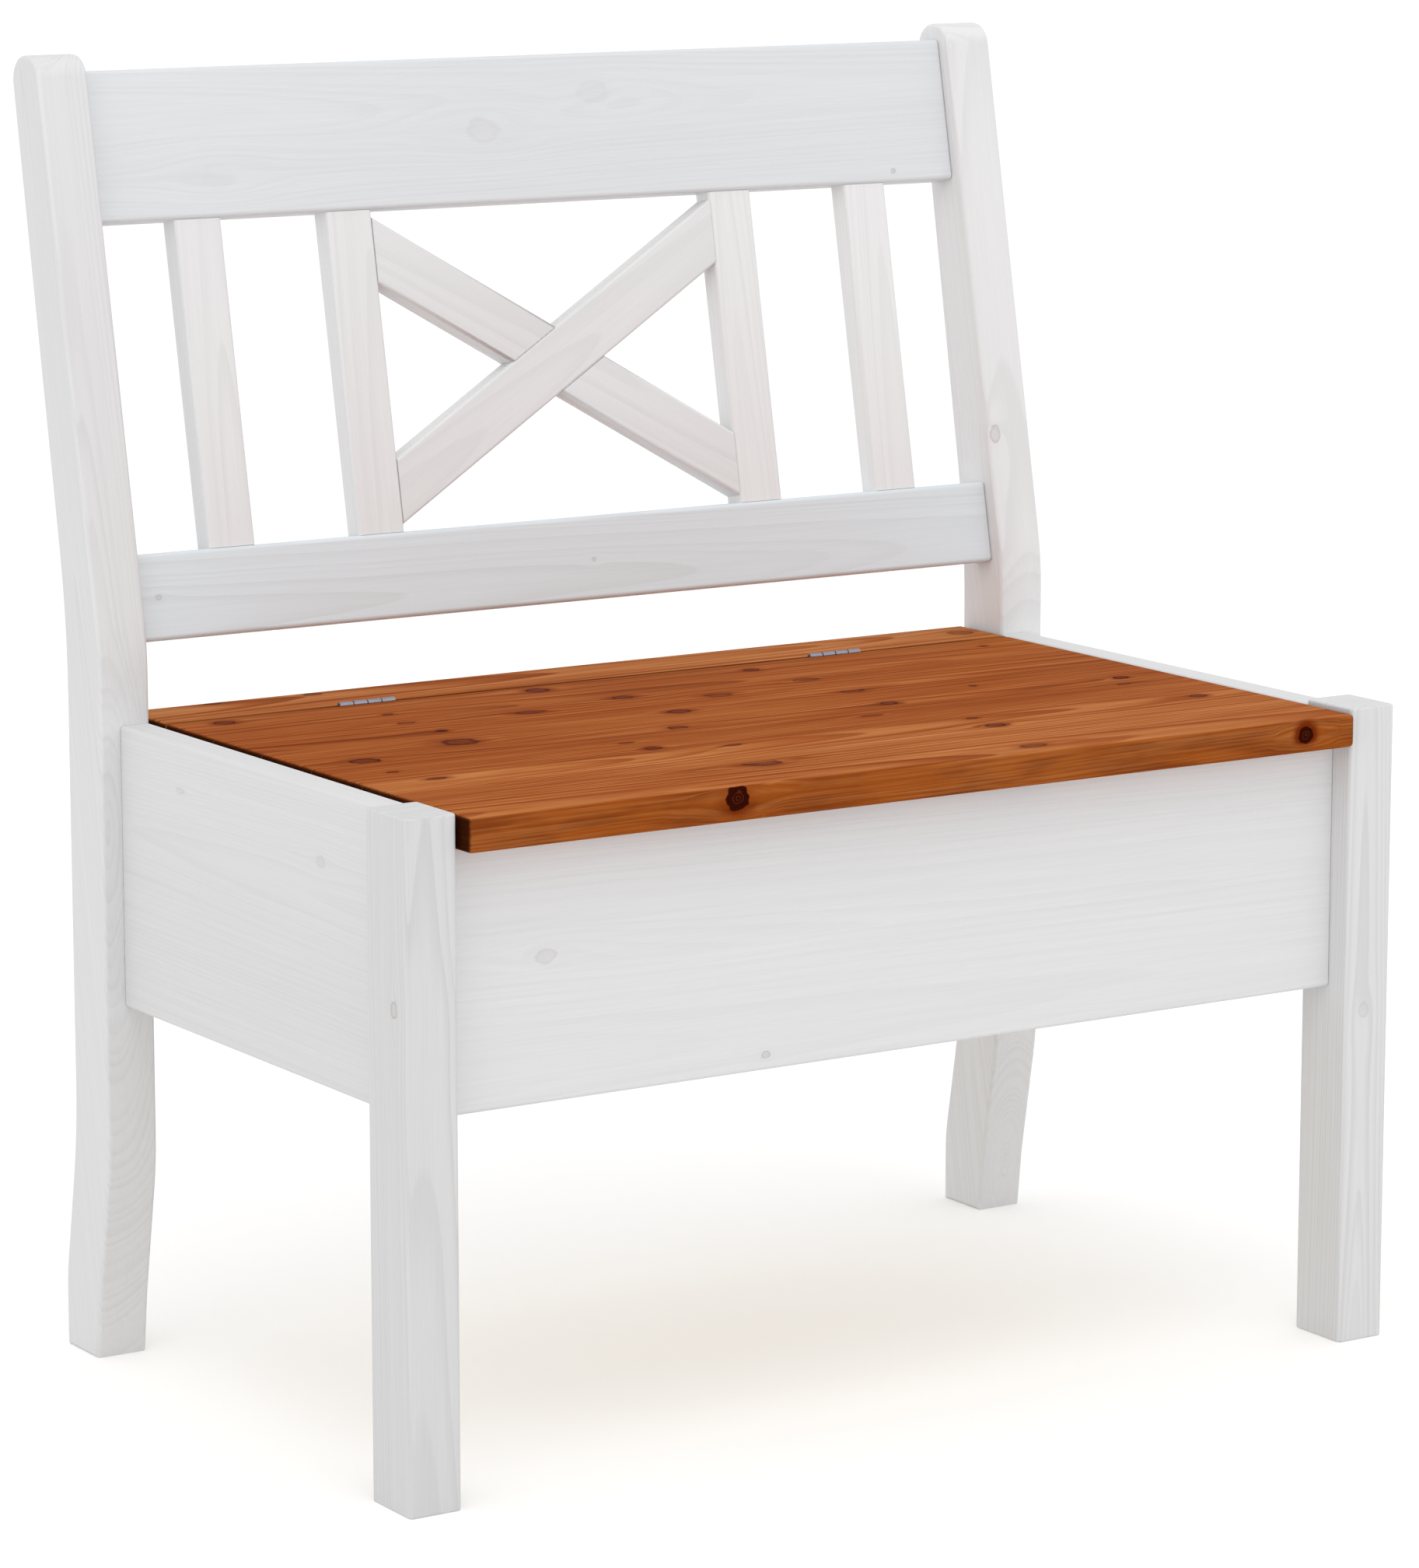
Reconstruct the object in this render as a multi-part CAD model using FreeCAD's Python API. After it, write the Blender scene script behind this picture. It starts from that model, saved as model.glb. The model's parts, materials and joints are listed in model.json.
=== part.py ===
import FreeCAD, Part
import math
import os

# A wooden storage bench for one or two sitters. Four legs carry a shallow box, the seat is the
# box's hinged lid, and the rear legs run on upwards as the raked posts of a cross-braced back rest.
# Millimetres. +Z is up, +Y runs from the front of the bench to its back, +X is to the right of
# someone who looks at the front. The sizes below are measured from the front legs' front faces and
# from the floor; the origin is then set on the floor under the middle of the finished bench.

# The four legs and the box between them
frame_width = 830.0
post_width = 40.0
leg_depth = 52.0
leg_top_rise = 2.5
side_panel_length = 384.0
side_panel_height = 206.0
side_panel_drop = 1.0
board_thickness = 24.0
front_panel_recess = 20.0
rear_panel_recess = 10.0

# The seat: a hinged lid and the fixed board that it is hinged to
seat_height = 473.0
seat_thickness = 24.0
lid_nosing = 9.0
lid_side_gap = 4.0
lid_rest_gap = 0.3
hinge_seam = 1.5
hinge_board_width = 64.0
hinge_board_setback = 3.5

# The rear posts, sawn to a double curve: splayed foot, upright middle, raked top
post_depth = 52.0
post_height = 944.0
post_top_depth = 42.0
rake_deg = 11.1
splay_deg = 10.1
front_rake_knee_rise = 55.0
rear_rake_knee_rise = 70.0
front_splay_knee_height = 148.0
rear_splay_knee_height = 166.0
foot_ease_height = 45.0
foot_front_setback = 23.5
foot_rear_reach = 20.0
front_knee_radius = 220.0
rear_rake_knee_radius = 620.0
rear_splay_knee_radius = 410.0
foot_corner_radius = 120.0
post_top_radius = 18.0

# The back rest, in a plane that leans back with the posts. The lower rail's rise is measured up
# that plane from the knee in the posts' front, and the posts' rise from the top of the top rail
rail_recess = 11.5
rail_thickness = 24.0
lower_rail_rise = 3.0
lower_rail_height = 63.0
top_rail_height = 110.0
post_top_rise = 9.4
slat_width = 38.0
slat_thickness = 20.0
outer_slat_inset = 83.0
slat_pitch = 125.0
brace_width = 42.0
brace_end_gap = 5.5

# Joints in the wood
glue_gap = 0.1
mortise_end_gap = 0.5
rail_tenon_length = 24.0
rail_tenon_thickness = 10.0
rail_tenon_shoulder = 14.0
slat_tenon_length = 12.0
slat_tenon_thickness = 10.0
slat_tenon_shoulder = 6.0
brace_tenon_length = 8.0
brace_tenon_thickness = 8.0
brace_tenon_width = 18.0
panel_tongue_length = 9.0
panel_tongue_thickness = 10.0
panel_tongue_margin = 12.0
leg_mortise_wall = 5.0
board_tongue_height = 7.0
board_tongue_thickness = 8.0
board_tongue_margin = 20.0

# The floor of the box and the battens that stiffen the lid
floor_thickness = 9.0
floor_side_gap = 0.5
cleat_section = 20.0
cleat_lift = 4.0
cleat_screw_margin = 90.0
lid_batten_width = 45.0
lid_batten_thickness = 18.0
lid_batten_centre = 140.0
lid_batten_end_gap = 28.0
batten_screw_margin = 35.0

# Countersunk wood screws, drawn with few sides
screw_sides = 8
screw_radius = 1.8
screw_head_radius = 3.6
screw_length = 34.0
screw_tip_length = 5.0
screw_sink = 0.2
screw_gap = 0.05

# The two butt hinges in the seam of the seat
hinge_inset = 165.0
hinge_length = 46.0
knuckles_per_hinge = 4
knuckle_gap = 0.3
knuckle_radius = 2.4
hinge_pin_radius = 1.1
hinge_pin_gap = 0.05
hinge_pin_inset = 0.4
hinge_axis_rise = 0.3
hinge_leaf_thickness = 1.2
hinge_leaf_height = 17.0
hinge_leaf_parting = 0.3
hinge_recess_gap = 0.1
knuckle_cove_gap = 0.4
hinge_screw_radius = 1.0
hinge_screw_head_radius = 1.9
hinge_screw_length = 16.0
hinge_screw_tip_length = 3.0
hinge_screw_margin = 9.0

# How far a cutting tool passes a face that it opens, and how finely two places are told apart
cut_margin = 1.0
near_enough = 0.01

# Softened edges: a radius where an edge is rounded over, a bevel where it is only eased
leg_edge_radius = 3.0
leg_top_bevel = 1.8
post_edge_bevel = 1.8
panel_edge_radius = 3.0
rail_edge_radius = 3.5
rail_end_bevel = 2.0
slat_edge_radius = 2.5
batten_edge_bevel = 1.5
seat_edge_radius = 4.5
seam_edge_bevel = 0.6

# Places that follow from the sizes above
outer_x = frame_width / 2
inner_x = outer_x - post_width
post_front_y = leg_depth + side_panel_length
post_back_y = post_front_y + post_depth
panel_front_y = front_panel_recess
panel_inner_y = panel_front_y + board_thickness
rear_panel_outer_y = post_back_y - rear_panel_recess
rear_panel_inner_y = rear_panel_outer_y - board_thickness
front_leg_height = seat_height + leg_top_rise
seat_underside = seat_height - seat_thickness
side_panel_top = seat_height - side_panel_drop
panel_base_height = side_panel_top - side_panel_height
front_rake_knee_height = seat_height + front_rake_knee_rise
rear_rake_knee_height = seat_height + rear_rake_knee_rise
seat_rear_y = post_back_y - hinge_board_setback
hinge_board_front_y = seat_rear_y - hinge_board_width
lid_rear_y = hinge_board_front_y - hinge_seam
hinge_axis_y = hinge_board_front_y - hinge_seam / 2
hinge_axis_z = seat_height + hinge_axis_rise
lid_half_length = inner_x - lid_side_gap
hinge_centre = lid_half_length - hinge_inset
floor_underside = panel_base_height + cleat_lift + cleat_section

# The front and side panels' tongues enter one leg at a right angle, and leave a wall between them
front_tongue_rear_y = panel_front_y + (board_thickness + panel_tongue_thickness) / 2
side_tongue_length = min(panel_tongue_length, leg_depth - front_tongue_rear_y - leg_mortise_wall)

# The raked plane of the back rest: its own X, n (rearwards) and s (upwards)
post_top_s = (post_height - front_rake_knee_height) / math.cos(math.radians(rake_deg))
slat_face_n = rail_recess + (rail_thickness - slat_thickness) / 2
rail_middle_n = rail_recess + rail_thickness / 2
lower_rail_top_s = lower_rail_rise + lower_rail_height
top_rail_base_s = post_top_s - post_top_rise - top_rail_height
slat_clear_height = top_rail_base_s - lower_rail_top_s
outer_slat_centre = inner_x - outer_slat_inset
inner_slat_centre = outer_slat_centre - slat_pitch
brace_bay_half = inner_slat_centre - slat_width / 2
brace_middle_s = (lower_rail_top_s + top_rail_base_s) / 2


def vec(x, y, z):
    return FreeCAD.Vector(x, y, z)


def block(x_range, y_range, z_range):
    """A box between two values on each axis."""
    size = [high - low for low, high in (x_range, y_range, z_range)]
    corner = vec(x_range[0], y_range[0], z_range[0])
    return Part.makeBox(size[0], size[1], size[2], corner)


def straight_edges(shape, direction):
    """The straight edges that run along a direction."""
    found = []
    for edge in shape.Edges:
        if edge.Curve.TypeId != "Part::GeomLine":
            continue
        if abs(edge.Curve.Direction.dot(direction)) > 0.9999:
            found.append(edge)
    return found


def soften(shape, radius, axes):
    """Round the straight edges of a board that run along the named axes."""
    directions = {"X": vec(1, 0, 0), "Y": vec(0, 1, 0), "Z": vec(0, 0, 1)}
    edges = []
    for axis in axes:
        edges += straight_edges(shape, directions[axis])
    return shape.makeFillet(radius, edges)


def rounded_outline(corners):
    """A closed outline through corners given as (y, z, radius), each one rounded by a tangent arc."""
    arcs = []
    for index, (y, z, radius) in enumerate(corners):
        here = vec(0, y, z)
        if radius == 0:
            arcs.append((here, None, here))
            continue
        before = vec(0, *corners[index - 1][:2]) - here
        after = vec(0, *corners[(index + 1) % len(corners)][:2]) - here
        before.normalize()
        after.normalize()
        half_angle = before.getAngle(after) / 2
        run = radius / math.tan(half_angle)
        middle = before + after
        middle.normalize()
        peak = here + middle * (radius / math.sin(half_angle) - radius)
        arcs.append((here + before * run, peak, here + after * run))
    edges = []
    for index, (start, peak, end) in enumerate(arcs):
        if peak is not None:
            edges.append(Part.Arc(start, peak, end).toShape())
        next_start = arcs[(index + 1) % len(arcs)][0]
        edges.append(Part.LineSegment(end, next_start).toShape())
    return Part.Wire(edges)


def faceted(stations):
    """A solid with flat sides about the Z axis through (radius, z) stations, from its face to its point."""
    turns = [2 * math.pi * index / screw_sides for index in range(screw_sides)]
    rings = [[vec(r * math.cos(turn), r * math.sin(turn), z) for turn in turns] for r, z in stations[:-1]]
    faces = [Part.Face(Part.makePolygon(rings[0] + rings[0][:1]))]
    rings.append([vec(0, 0, stations[-1][1])] * screw_sides)
    for near, far in zip(rings, rings[1:]):
        for index in range(screw_sides):
            corners = [near[index - 1], near[index], far[index]]
            if far is not rings[-1]:
                corners.append(far[index - 1])
            faces.append(Part.Face(Part.makePolygon(corners + corners[:1])))
    return Part.Solid(Part.Shell(faces))


def countersunk_screw(seat, direction, sizes, gap):
    """A countersunk screw, or with a gap the space it cuts. The seat is the middle of the head's face."""
    radius, head_radius, length, tip_length = sizes
    body_radius = radius + gap
    top_radius = head_radius + gap
    stations = [(top_radius, -cut_margin if gap else 0.0)]
    if gap:
        stations.append((top_radius, 0.0))
    stations.append((body_radius, top_radius - body_radius))
    stations.append((body_radius, length - tip_length + gap))
    stations.append((0.0, length + gap))
    screw = faceted(stations)
    screw.Placement = FreeCAD.Placement(seat, FreeCAD.Rotation(vec(0, 0, 1), direction))
    return screw


def wood_screw(seat, direction, gap=0.0):
    """A screw of the box or lid. Its head lies a little below the face that it is driven into."""
    sizes = (screw_radius, screw_head_radius, screw_length, screw_tip_length)
    return countersunk_screw(seat + direction * screw_sink, direction, sizes, gap)


def lean_back(shape):
    """Carry a shape from the flat layout of the back rest into the raked plane of the posts."""
    leaned = shape.copy()
    turn = FreeCAD.Rotation(vec(1, 0, 0), -rake_deg)
    place = FreeCAD.Placement(vec(0, post_front_y, front_rake_knee_height), turn)
    leaned.Placement = place.multiply(leaned.Placement)
    return leaned


def cut_all(shape, tools):
    """Cut several holes from one piece, and hand back the one solid that is left."""
    result = shape.cut(tools)
    return result.Solids[0]


def mirrored(shape):
    """The same piece for the other side of the bench."""
    return shape.mirror(vec(0, 0, 0), vec(1, 0, 0))


def post_outline():
    """The side view of a rear post, as a face in the plane x = 0."""
    splay = math.tan(math.radians(splay_deg))
    rake = math.tan(math.radians(rake_deg))
    front_top_y = post_front_y + (post_height - front_rake_knee_height) * rake
    ease_y = post_front_y + (front_splay_knee_height - foot_ease_height) * splay
    foot_back_y = post_back_y + foot_rear_reach
    foot_corner_z = rear_splay_knee_height - foot_rear_reach / splay
    corners = [
        (post_front_y + foot_front_setback, 0, 0),
        (ease_y, foot_ease_height, front_knee_radius),
        (post_front_y, front_splay_knee_height, front_knee_radius),
        (post_front_y, front_rake_knee_height, front_knee_radius),
        (front_top_y, post_height, post_top_radius),
        (front_top_y + post_top_depth, post_height, post_top_radius),
        (post_back_y, rear_rake_knee_height, rear_rake_knee_radius),
        (post_back_y, rear_splay_knee_height, rear_splay_knee_radius),
        (foot_back_y, foot_corner_z, foot_corner_radius),
        (foot_back_y, 0, 0),
    ]
    return Part.Face(rounded_outline(corners))


def tenon_reach(length, gap):
    """How far a tenon reaches into its mortise, or with a gap how deep the mortise is."""
    return length + mortise_end_gap if gap else length


def rail_tenon(rail_base_s, rail_height, gap):
    """The right-hand tenon of a rail in the flat layout, or with a gap the mortise for it."""
    low = rail_base_s + rail_tenon_shoulder - gap
    high = rail_base_s + rail_height - rail_tenon_shoulder + gap
    half = rail_tenon_thickness / 2 + gap
    span = (inner_x - cut_margin, inner_x + tenon_reach(rail_tenon_length, gap))
    return block(span, (rail_middle_n - half, rail_middle_n + half), (low, high))


def slat_tenon(centre_x, low_s, high_s, gap):
    """The stub tenon at one end of a slat, or with a gap the mortise for it in a rail."""
    half_width = slat_width / 2 - slat_tenon_shoulder + gap
    half_thickness = slat_tenon_thickness / 2 + gap
    return block(
        (centre_x - half_width, centre_x + half_width),
        (rail_middle_n - half_thickness, rail_middle_n + half_thickness),
        (low_s, high_s),
    )


slat_centres = {
    "outer_slat_left": -outer_slat_centre,
    "inner_slat_left": -inner_slat_centre,
    "inner_slat_right": inner_slat_centre,
    "outer_slat_right": outer_slat_centre,
}


def back_rail(base_s, height, mortises):
    """A rail of the back rest with a tenon at each end, in the raked plane."""
    depth = (rail_recess, rail_recess + rail_thickness)
    rail = soften(block((-inner_x, inner_x), depth, (base_s, base_s + height)), rail_edge_radius, "X")
    ends = [edge for edge in rail.Edges if edge.BoundBox.XLength < near_enough]
    rail = rail.makeChamfer(rail_end_bevel, ends)
    tenon = rail_tenon(base_s, height, 0.0)
    rail = rail.fuse([tenon, mirrored(tenon)]).removeSplitter()
    return lean_back(cut_all(rail, mortises))


def slat_mortises(low_s, high_s):
    """One mortise for each slat, between two rises."""
    return [slat_tenon(centre, low_s, high_s, glue_gap) for centre in slat_centres.values()]


def brace_slope():
    """The angle of a brace above the rails, in radians: it ends a set gap from both rails."""
    angle = 0.0
    for _ in range(40):
        half_end = brace_width / (2 * math.cos(angle))
        rise = slat_clear_height - 2 * brace_end_gap - 2 * half_end
        angle = math.atan2(rise, 2 * brace_bay_half)
    return angle


def brace_bar(sign):
    """A whole brace in the flat layout, cut upright at the slats. Sign 1 rises to the right."""
    angle = sign * brace_slope()
    half_end = brace_width / (2 * math.cos(angle))
    climb = brace_bay_half * math.tan(angle)
    outline = [
        vec(-brace_bay_half, slat_face_n, brace_middle_s - climb - half_end),
        vec(brace_bay_half, slat_face_n, brace_middle_s + climb - half_end),
        vec(brace_bay_half, slat_face_n, brace_middle_s + climb + half_end),
        vec(-brace_bay_half, slat_face_n, brace_middle_s - climb + half_end),
    ]
    face = Part.Face(Part.makePolygon(outline + [outline[0]]))
    bar = face.extrude(vec(0, slat_thickness, 0))
    along = outline[1] - outline[0]
    along.normalize()
    bar = bar.makeFillet(slat_edge_radius, straight_edges(bar, along))
    return bar.fuse([brace_tenon(1, sign), brace_tenon(-1, -sign)]).removeSplitter()


def lap_notch(sign, keep_front):
    """What a half lap takes out of one brace: half its thickness, as wide as the other brace."""
    angle = -sign * brace_slope()
    along = vec(math.cos(angle), 0, math.sin(angle))
    across = vec(-math.sin(angle), 0, math.cos(angle))
    half_width = brace_width / 2 + glue_gap
    lap_n = slat_face_n + slat_thickness / 2
    near = lap_n - glue_gap / 2 if keep_front else slat_face_n - cut_margin
    far = slat_face_n + slat_thickness + cut_margin if keep_front else lap_n + glue_gap / 2
    middle = vec(0, near, brace_middle_s)
    reach = 2 * brace_bay_half
    corners = []
    for run, side in ((-1, -1), (1, -1), (1, 1), (-1, 1)):
        corners.append(middle + along * (run * reach) + across * (side * half_width))
    face = Part.Face(Part.makePolygon(corners + [corners[0]]))
    return face.extrude(vec(0, far - near, 0))


def brace_tenon(side, level, gap=0.0):
    """The stub tenon at a brace's end in the flat layout, or with a gap the mortise for it in a slat."""
    climb = brace_bay_half * math.tan(brace_slope())
    middle_s = brace_middle_s + level * climb
    middle_n = slat_face_n + slat_thickness / 2
    half_width = brace_tenon_width / 2 + gap
    half_thickness = brace_tenon_thickness / 2 + gap
    tenon = block(
        (brace_bay_half - cut_margin, brace_bay_half + tenon_reach(brace_tenon_length, gap)),
        (middle_n - half_thickness, middle_n + half_thickness),
        (middle_s - half_width, middle_s + half_width),
    )
    return tenon if side > 0 else mirrored(tenon)


def side_panel_tongues(side, gap=0.0):
    """The tongues at the two ends of a side panel, or with a gap the mortises for them."""
    middle_x = side * (inner_x + board_thickness / 2)
    half = panel_tongue_thickness / 2 + gap
    x_range = (middle_x - half, middle_x + half)
    z_range = (panel_base_height + panel_tongue_margin - gap, side_panel_top - panel_tongue_margin + gap)
    reach = tenon_reach(side_tongue_length, gap)
    return [
        block(x_range, (leg_depth - reach, leg_depth + cut_margin), z_range),
        block(x_range, (post_front_y - cut_margin, post_front_y + reach), z_range),
    ]


def end_panel_tongues(inner_face_y, gap=0.0):
    """The tongues at the two ends of the front or rear panel, or with a gap the mortises for them."""
    low_y = inner_face_y + (board_thickness - panel_tongue_thickness) / 2 - gap
    y_range = (low_y, low_y + panel_tongue_thickness + 2 * gap)
    z_range = (panel_base_height + panel_tongue_margin - gap, seat_underside - panel_tongue_margin + gap)
    x_range = (inner_x - cut_margin, inner_x + tenon_reach(panel_tongue_length, gap))
    right = block(x_range, y_range, z_range)
    return [mirrored(right), right]


def board_tongue(gap=0.0):
    """The tongue on top of the rear panel, or with a gap the groove for it in the fixed seat board."""
    half_length = lid_half_length - board_tongue_margin + gap
    low_y = rear_panel_inner_y + (board_thickness - board_tongue_thickness) / 2 - gap
    y_range = (low_y, low_y + board_tongue_thickness + 2 * gap)
    top = seat_underside + tenon_reach(board_tongue_height, gap)
    return block((-half_length, half_length), y_range, (seat_underside - cut_margin, top))


def front_leg(side):
    low_x, high_x = sorted((side * inner_x, side * outer_x))
    leg = soften(block((low_x, high_x), (0, leg_depth), (0, front_leg_height)), leg_edge_radius, "Z")
    top = [edge for edge in leg.Edges if edge.BoundBox.ZMin > front_leg_height - near_enough]
    leg = leg.makeChamfer(leg_top_bevel, top)
    return cut_all(leg, end_panel_tongues(panel_front_y, glue_gap) + side_panel_tongues(side, glue_gap))


def rear_post(side):
    """A rear post, sawn from its outline, eased along both sides and mortised for rails and panels."""
    face = post_outline()
    face.translate(vec(inner_x, 0, 0))
    post = face.extrude(vec(post_width, 0, 0))
    rim = []
    for edge in post.Edges:
        box = edge.BoundBox
        if box.XLength < near_enough and box.ZMax > near_enough:
            rim.append(edge)
    post = post.makeChamfer(post_edge_bevel, rim)
    tools = [lean_back(rail_tenon(lower_rail_rise, lower_rail_height, glue_gap))]
    tools.append(lean_back(rail_tenon(top_rail_base_s, top_rail_height, glue_gap)))
    tools += end_panel_tongues(rear_panel_inner_y, glue_gap)
    tools += side_panel_tongues(1, glue_gap)
    post = cut_all(post, tools)
    return post if side > 0 else mirrored(post)


def cleat_screw_places():
    """Seats and directions of the screws that hold the floor cleats to the four panels."""
    z = panel_base_height + cleat_lift + cleat_section / 2
    front_y = panel_inner_y + cleat_section
    rear_y = rear_panel_inner_y - cleat_section
    side_x = inner_x - cleat_section
    places = {"front": [], "rear": [], "left": [], "right": []}
    for x in (-inner_x + cleat_screw_margin, inner_x - cleat_screw_margin):
        places["front"].append((vec(x, front_y, z), vec(0, -1, 0)))
        places["rear"].append((vec(x, rear_y, z), vec(0, 1, 0)))
    for y in (front_y + cleat_screw_margin, rear_y - cleat_screw_margin):
        places["left"].append((vec(-side_x, y, z), vec(-1, 0, 0)))
        places["right"].append((vec(side_x, y, z), vec(1, 0, 0)))
    return places


def screws(places, gap=0.0):
    return [wood_screw(seat, direction, gap) for seat, direction in places]


def side_panel(side):
    low_x, high_x = sorted((side * inner_x, side * (inner_x + board_thickness)))
    panel = block((low_x, high_x), (leg_depth, post_front_y), (panel_base_height, side_panel_top))
    panel = soften(panel, panel_edge_radius, "Y").fuse(side_panel_tongues(side)).removeSplitter()
    name = "right" if side > 0 else "left"
    return cut_all(panel, screws(cleat_screw_places()[name], screw_gap))


def front_panel():
    top = seat_underside - lid_rest_gap
    panel = block((-inner_x, inner_x), (panel_front_y, panel_inner_y), (panel_base_height, top))
    panel = soften(panel, panel_edge_radius, "X").fuse(end_panel_tongues(panel_front_y)).removeSplitter()
    return cut_all(panel, screws(cleat_screw_places()["front"], screw_gap))


def rear_panel():
    depth = (rear_panel_inner_y, rear_panel_outer_y)
    panel = block((-inner_x, inner_x), depth, (panel_base_height, seat_underside))
    long_edges = straight_edges(panel, vec(1, 0, 0))
    lower = [edge for edge in long_edges if edge.BoundBox.ZMax < seat_underside - near_enough]
    panel = panel.makeFillet(panel_edge_radius, lower)
    panel = panel.fuse(end_panel_tongues(rear_panel_inner_y) + [board_tongue()]).removeSplitter()
    return cut_all(panel, screws(cleat_screw_places()["rear"], screw_gap))


def cleats():
    """The four cleats inside the box that the floor lies on."""
    low = panel_base_height + cleat_lift
    z_range = (low, low + cleat_section)
    front_y = panel_inner_y + cleat_section
    rear_y = rear_panel_inner_y - cleat_section
    bars = {
        "front": block((-inner_x, inner_x), (panel_inner_y, front_y), z_range),
        "rear": block((-inner_x, inner_x), (rear_y, rear_panel_inner_y), z_range),
        "left": block((-inner_x, -inner_x + cleat_section), (front_y, rear_y), z_range),
        "right": block((inner_x - cleat_section, inner_x), (front_y, rear_y), z_range),
    }
    places = cleat_screw_places()
    return {name: cut_all(bar, screws(places[name], screw_gap)) for name, bar in bars.items()}


def floor_panel():
    """The loose floor of the box, laid on the cleats."""
    edge = floor_side_gap
    return block(
        (-inner_x + edge, inner_x - edge),
        (panel_inner_y + edge, rear_panel_inner_y - edge),
        (floor_underside, floor_underside + floor_thickness),
    )


def knuckle_spans():
    """Start and end of each knuckle along a hinge, from its left end, counted from zero."""
    pitch = (hinge_length + knuckle_gap) / knuckles_per_hinge
    return [(index * pitch, (index + 1) * pitch - knuckle_gap) for index in range(knuckles_per_hinge)]


def hinge_leaf(centre_x, side):
    """One leaf of a butt hinge. Side -1 moves with the lid and has the even knuckles, side 1 is fixed."""
    left = centre_x - hinge_length / 2
    near = hinge_leaf_parting / 2
    y_range = sorted((hinge_axis_y + side * near, hinge_axis_y + side * (near + hinge_leaf_thickness)))
    plate_top = hinge_axis_z - knuckle_radius - knuckle_gap
    leaf = block((left, left + hinge_length), y_range, (hinge_axis_z - hinge_leaf_height, plate_top))
    axis_start = vec(left, hinge_axis_y, hinge_axis_z)
    first = 0 if side > 0 else 1
    additions = []
    for low, high in knuckle_spans()[first::2]:
        start = axis_start + vec(low, 0, 0)
        additions.append(Part.makeCylinder(knuckle_radius, high - low, start, vec(1, 0, 0)))
        additions.append(block((left + low, left + high), y_range, (plate_top - near_enough, hinge_axis_z)))
    leaf = leaf.fuse(additions).removeSplitter()
    bore = Part.makeCylinder(hinge_pin_radius + hinge_pin_gap, hinge_length, axis_start, vec(1, 0, 0))
    return cut_all(leaf, [bore] + hinge_screws(centre_x, side, screw_gap))


def hinge_screws(centre_x, side, gap=0.0):
    """The two screws of one leaf, with their heads flush in the leaf."""
    found = []
    sizes = (hinge_screw_radius, hinge_screw_head_radius, hinge_screw_length, hinge_screw_tip_length)
    plate_low = hinge_axis_z - hinge_leaf_height
    plate_high = hinge_axis_z - knuckle_radius - knuckle_gap
    z = (plate_low + plate_high) / 2
    y = hinge_axis_y + side * hinge_leaf_parting / 2
    for step in (-1, 1):
        seat = vec(centre_x + step * (hinge_length / 2 - hinge_screw_margin), y, z)
        found.append(countersunk_screw(seat, vec(0, side, 0), sizes, gap))
    return found


def hinge_recesses(side):
    """What the two hinges take out of the lid (side -1) or the fixed board (side 1)."""
    tools = []
    for centre_x in (-hinge_centre, hinge_centre):
        half = hinge_length / 2 + hinge_recess_gap
        depth = hinge_leaf_parting / 2 + hinge_leaf_thickness + hinge_recess_gap
        y_range = sorted((hinge_axis_y, hinge_axis_y + side * depth))
        z_range = (hinge_axis_z - hinge_leaf_height - hinge_recess_gap, hinge_axis_z)
        tools.append(block((centre_x - half, centre_x + half), y_range, z_range))
        start = vec(centre_x - half, hinge_axis_y, hinge_axis_z)
        tools.append(Part.makeCylinder(knuckle_radius + knuckle_cove_gap, 2 * half, start, vec(1, 0, 0)))
        tools += hinge_screws(centre_x, side, screw_gap)
    return tools


def hinge_pin(centre_x):
    """The pin through the knuckles, a little shorter than the hinge."""
    length = hinge_length - 2 * hinge_pin_inset
    start = vec(centre_x - length / 2, hinge_axis_y, hinge_axis_z)
    return Part.makeCylinder(hinge_pin_radius, length, start, vec(1, 0, 0))


def lies_at_y(edge, y):
    """Whether a whole edge lies in the upright plane at y."""
    box = edge.BoundBox
    return abs(box.YMin - y) < near_enough and abs(box.YMax - y) < near_enough


def seat_board(y_range, seam_y):
    """A board of the seat with soft outer edges and a crisp edge along the hinge seam."""
    board = block((-lid_half_length, lid_half_length), y_range, (seat_underside, seat_height))
    outer = [edge for edge in board.Edges if not lies_at_y(edge, seam_y)]
    board = board.makeFillet(seat_edge_radius, outer)
    seam = [edge for edge in board.Edges if lies_at_y(edge, seam_y)]
    return board.makeChamfer(seam_edge_bevel, seam)


def lid_batten_range():
    """Front and rear ends of the battens under the lid."""
    return (panel_inner_y + lid_batten_end_gap, lid_rear_y - lid_batten_end_gap)


def batten_screw_places(side):
    front, rear = lid_batten_range()
    z = seat_underside - lid_batten_thickness
    middle = (front + rear) / 2
    spots = (front + batten_screw_margin, middle, rear - batten_screw_margin)
    return [(vec(side * (inner_x - lid_batten_centre), y, z), vec(0, 0, 1)) for y in spots]


def lid():
    board = seat_board((-lid_nosing, lid_rear_y), lid_rear_y)
    holes = hinge_recesses(-1)
    for side in (-1, 1):
        holes += screws(batten_screw_places(side), screw_gap)
    return cut_all(board, holes)


def hinge_board():
    """The fixed rear strip of the seat, between the posts."""
    board = seat_board((hinge_board_front_y, seat_rear_y), hinge_board_front_y)
    return cut_all(board, hinge_recesses(1) + [board_tongue(glue_gap)])


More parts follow.
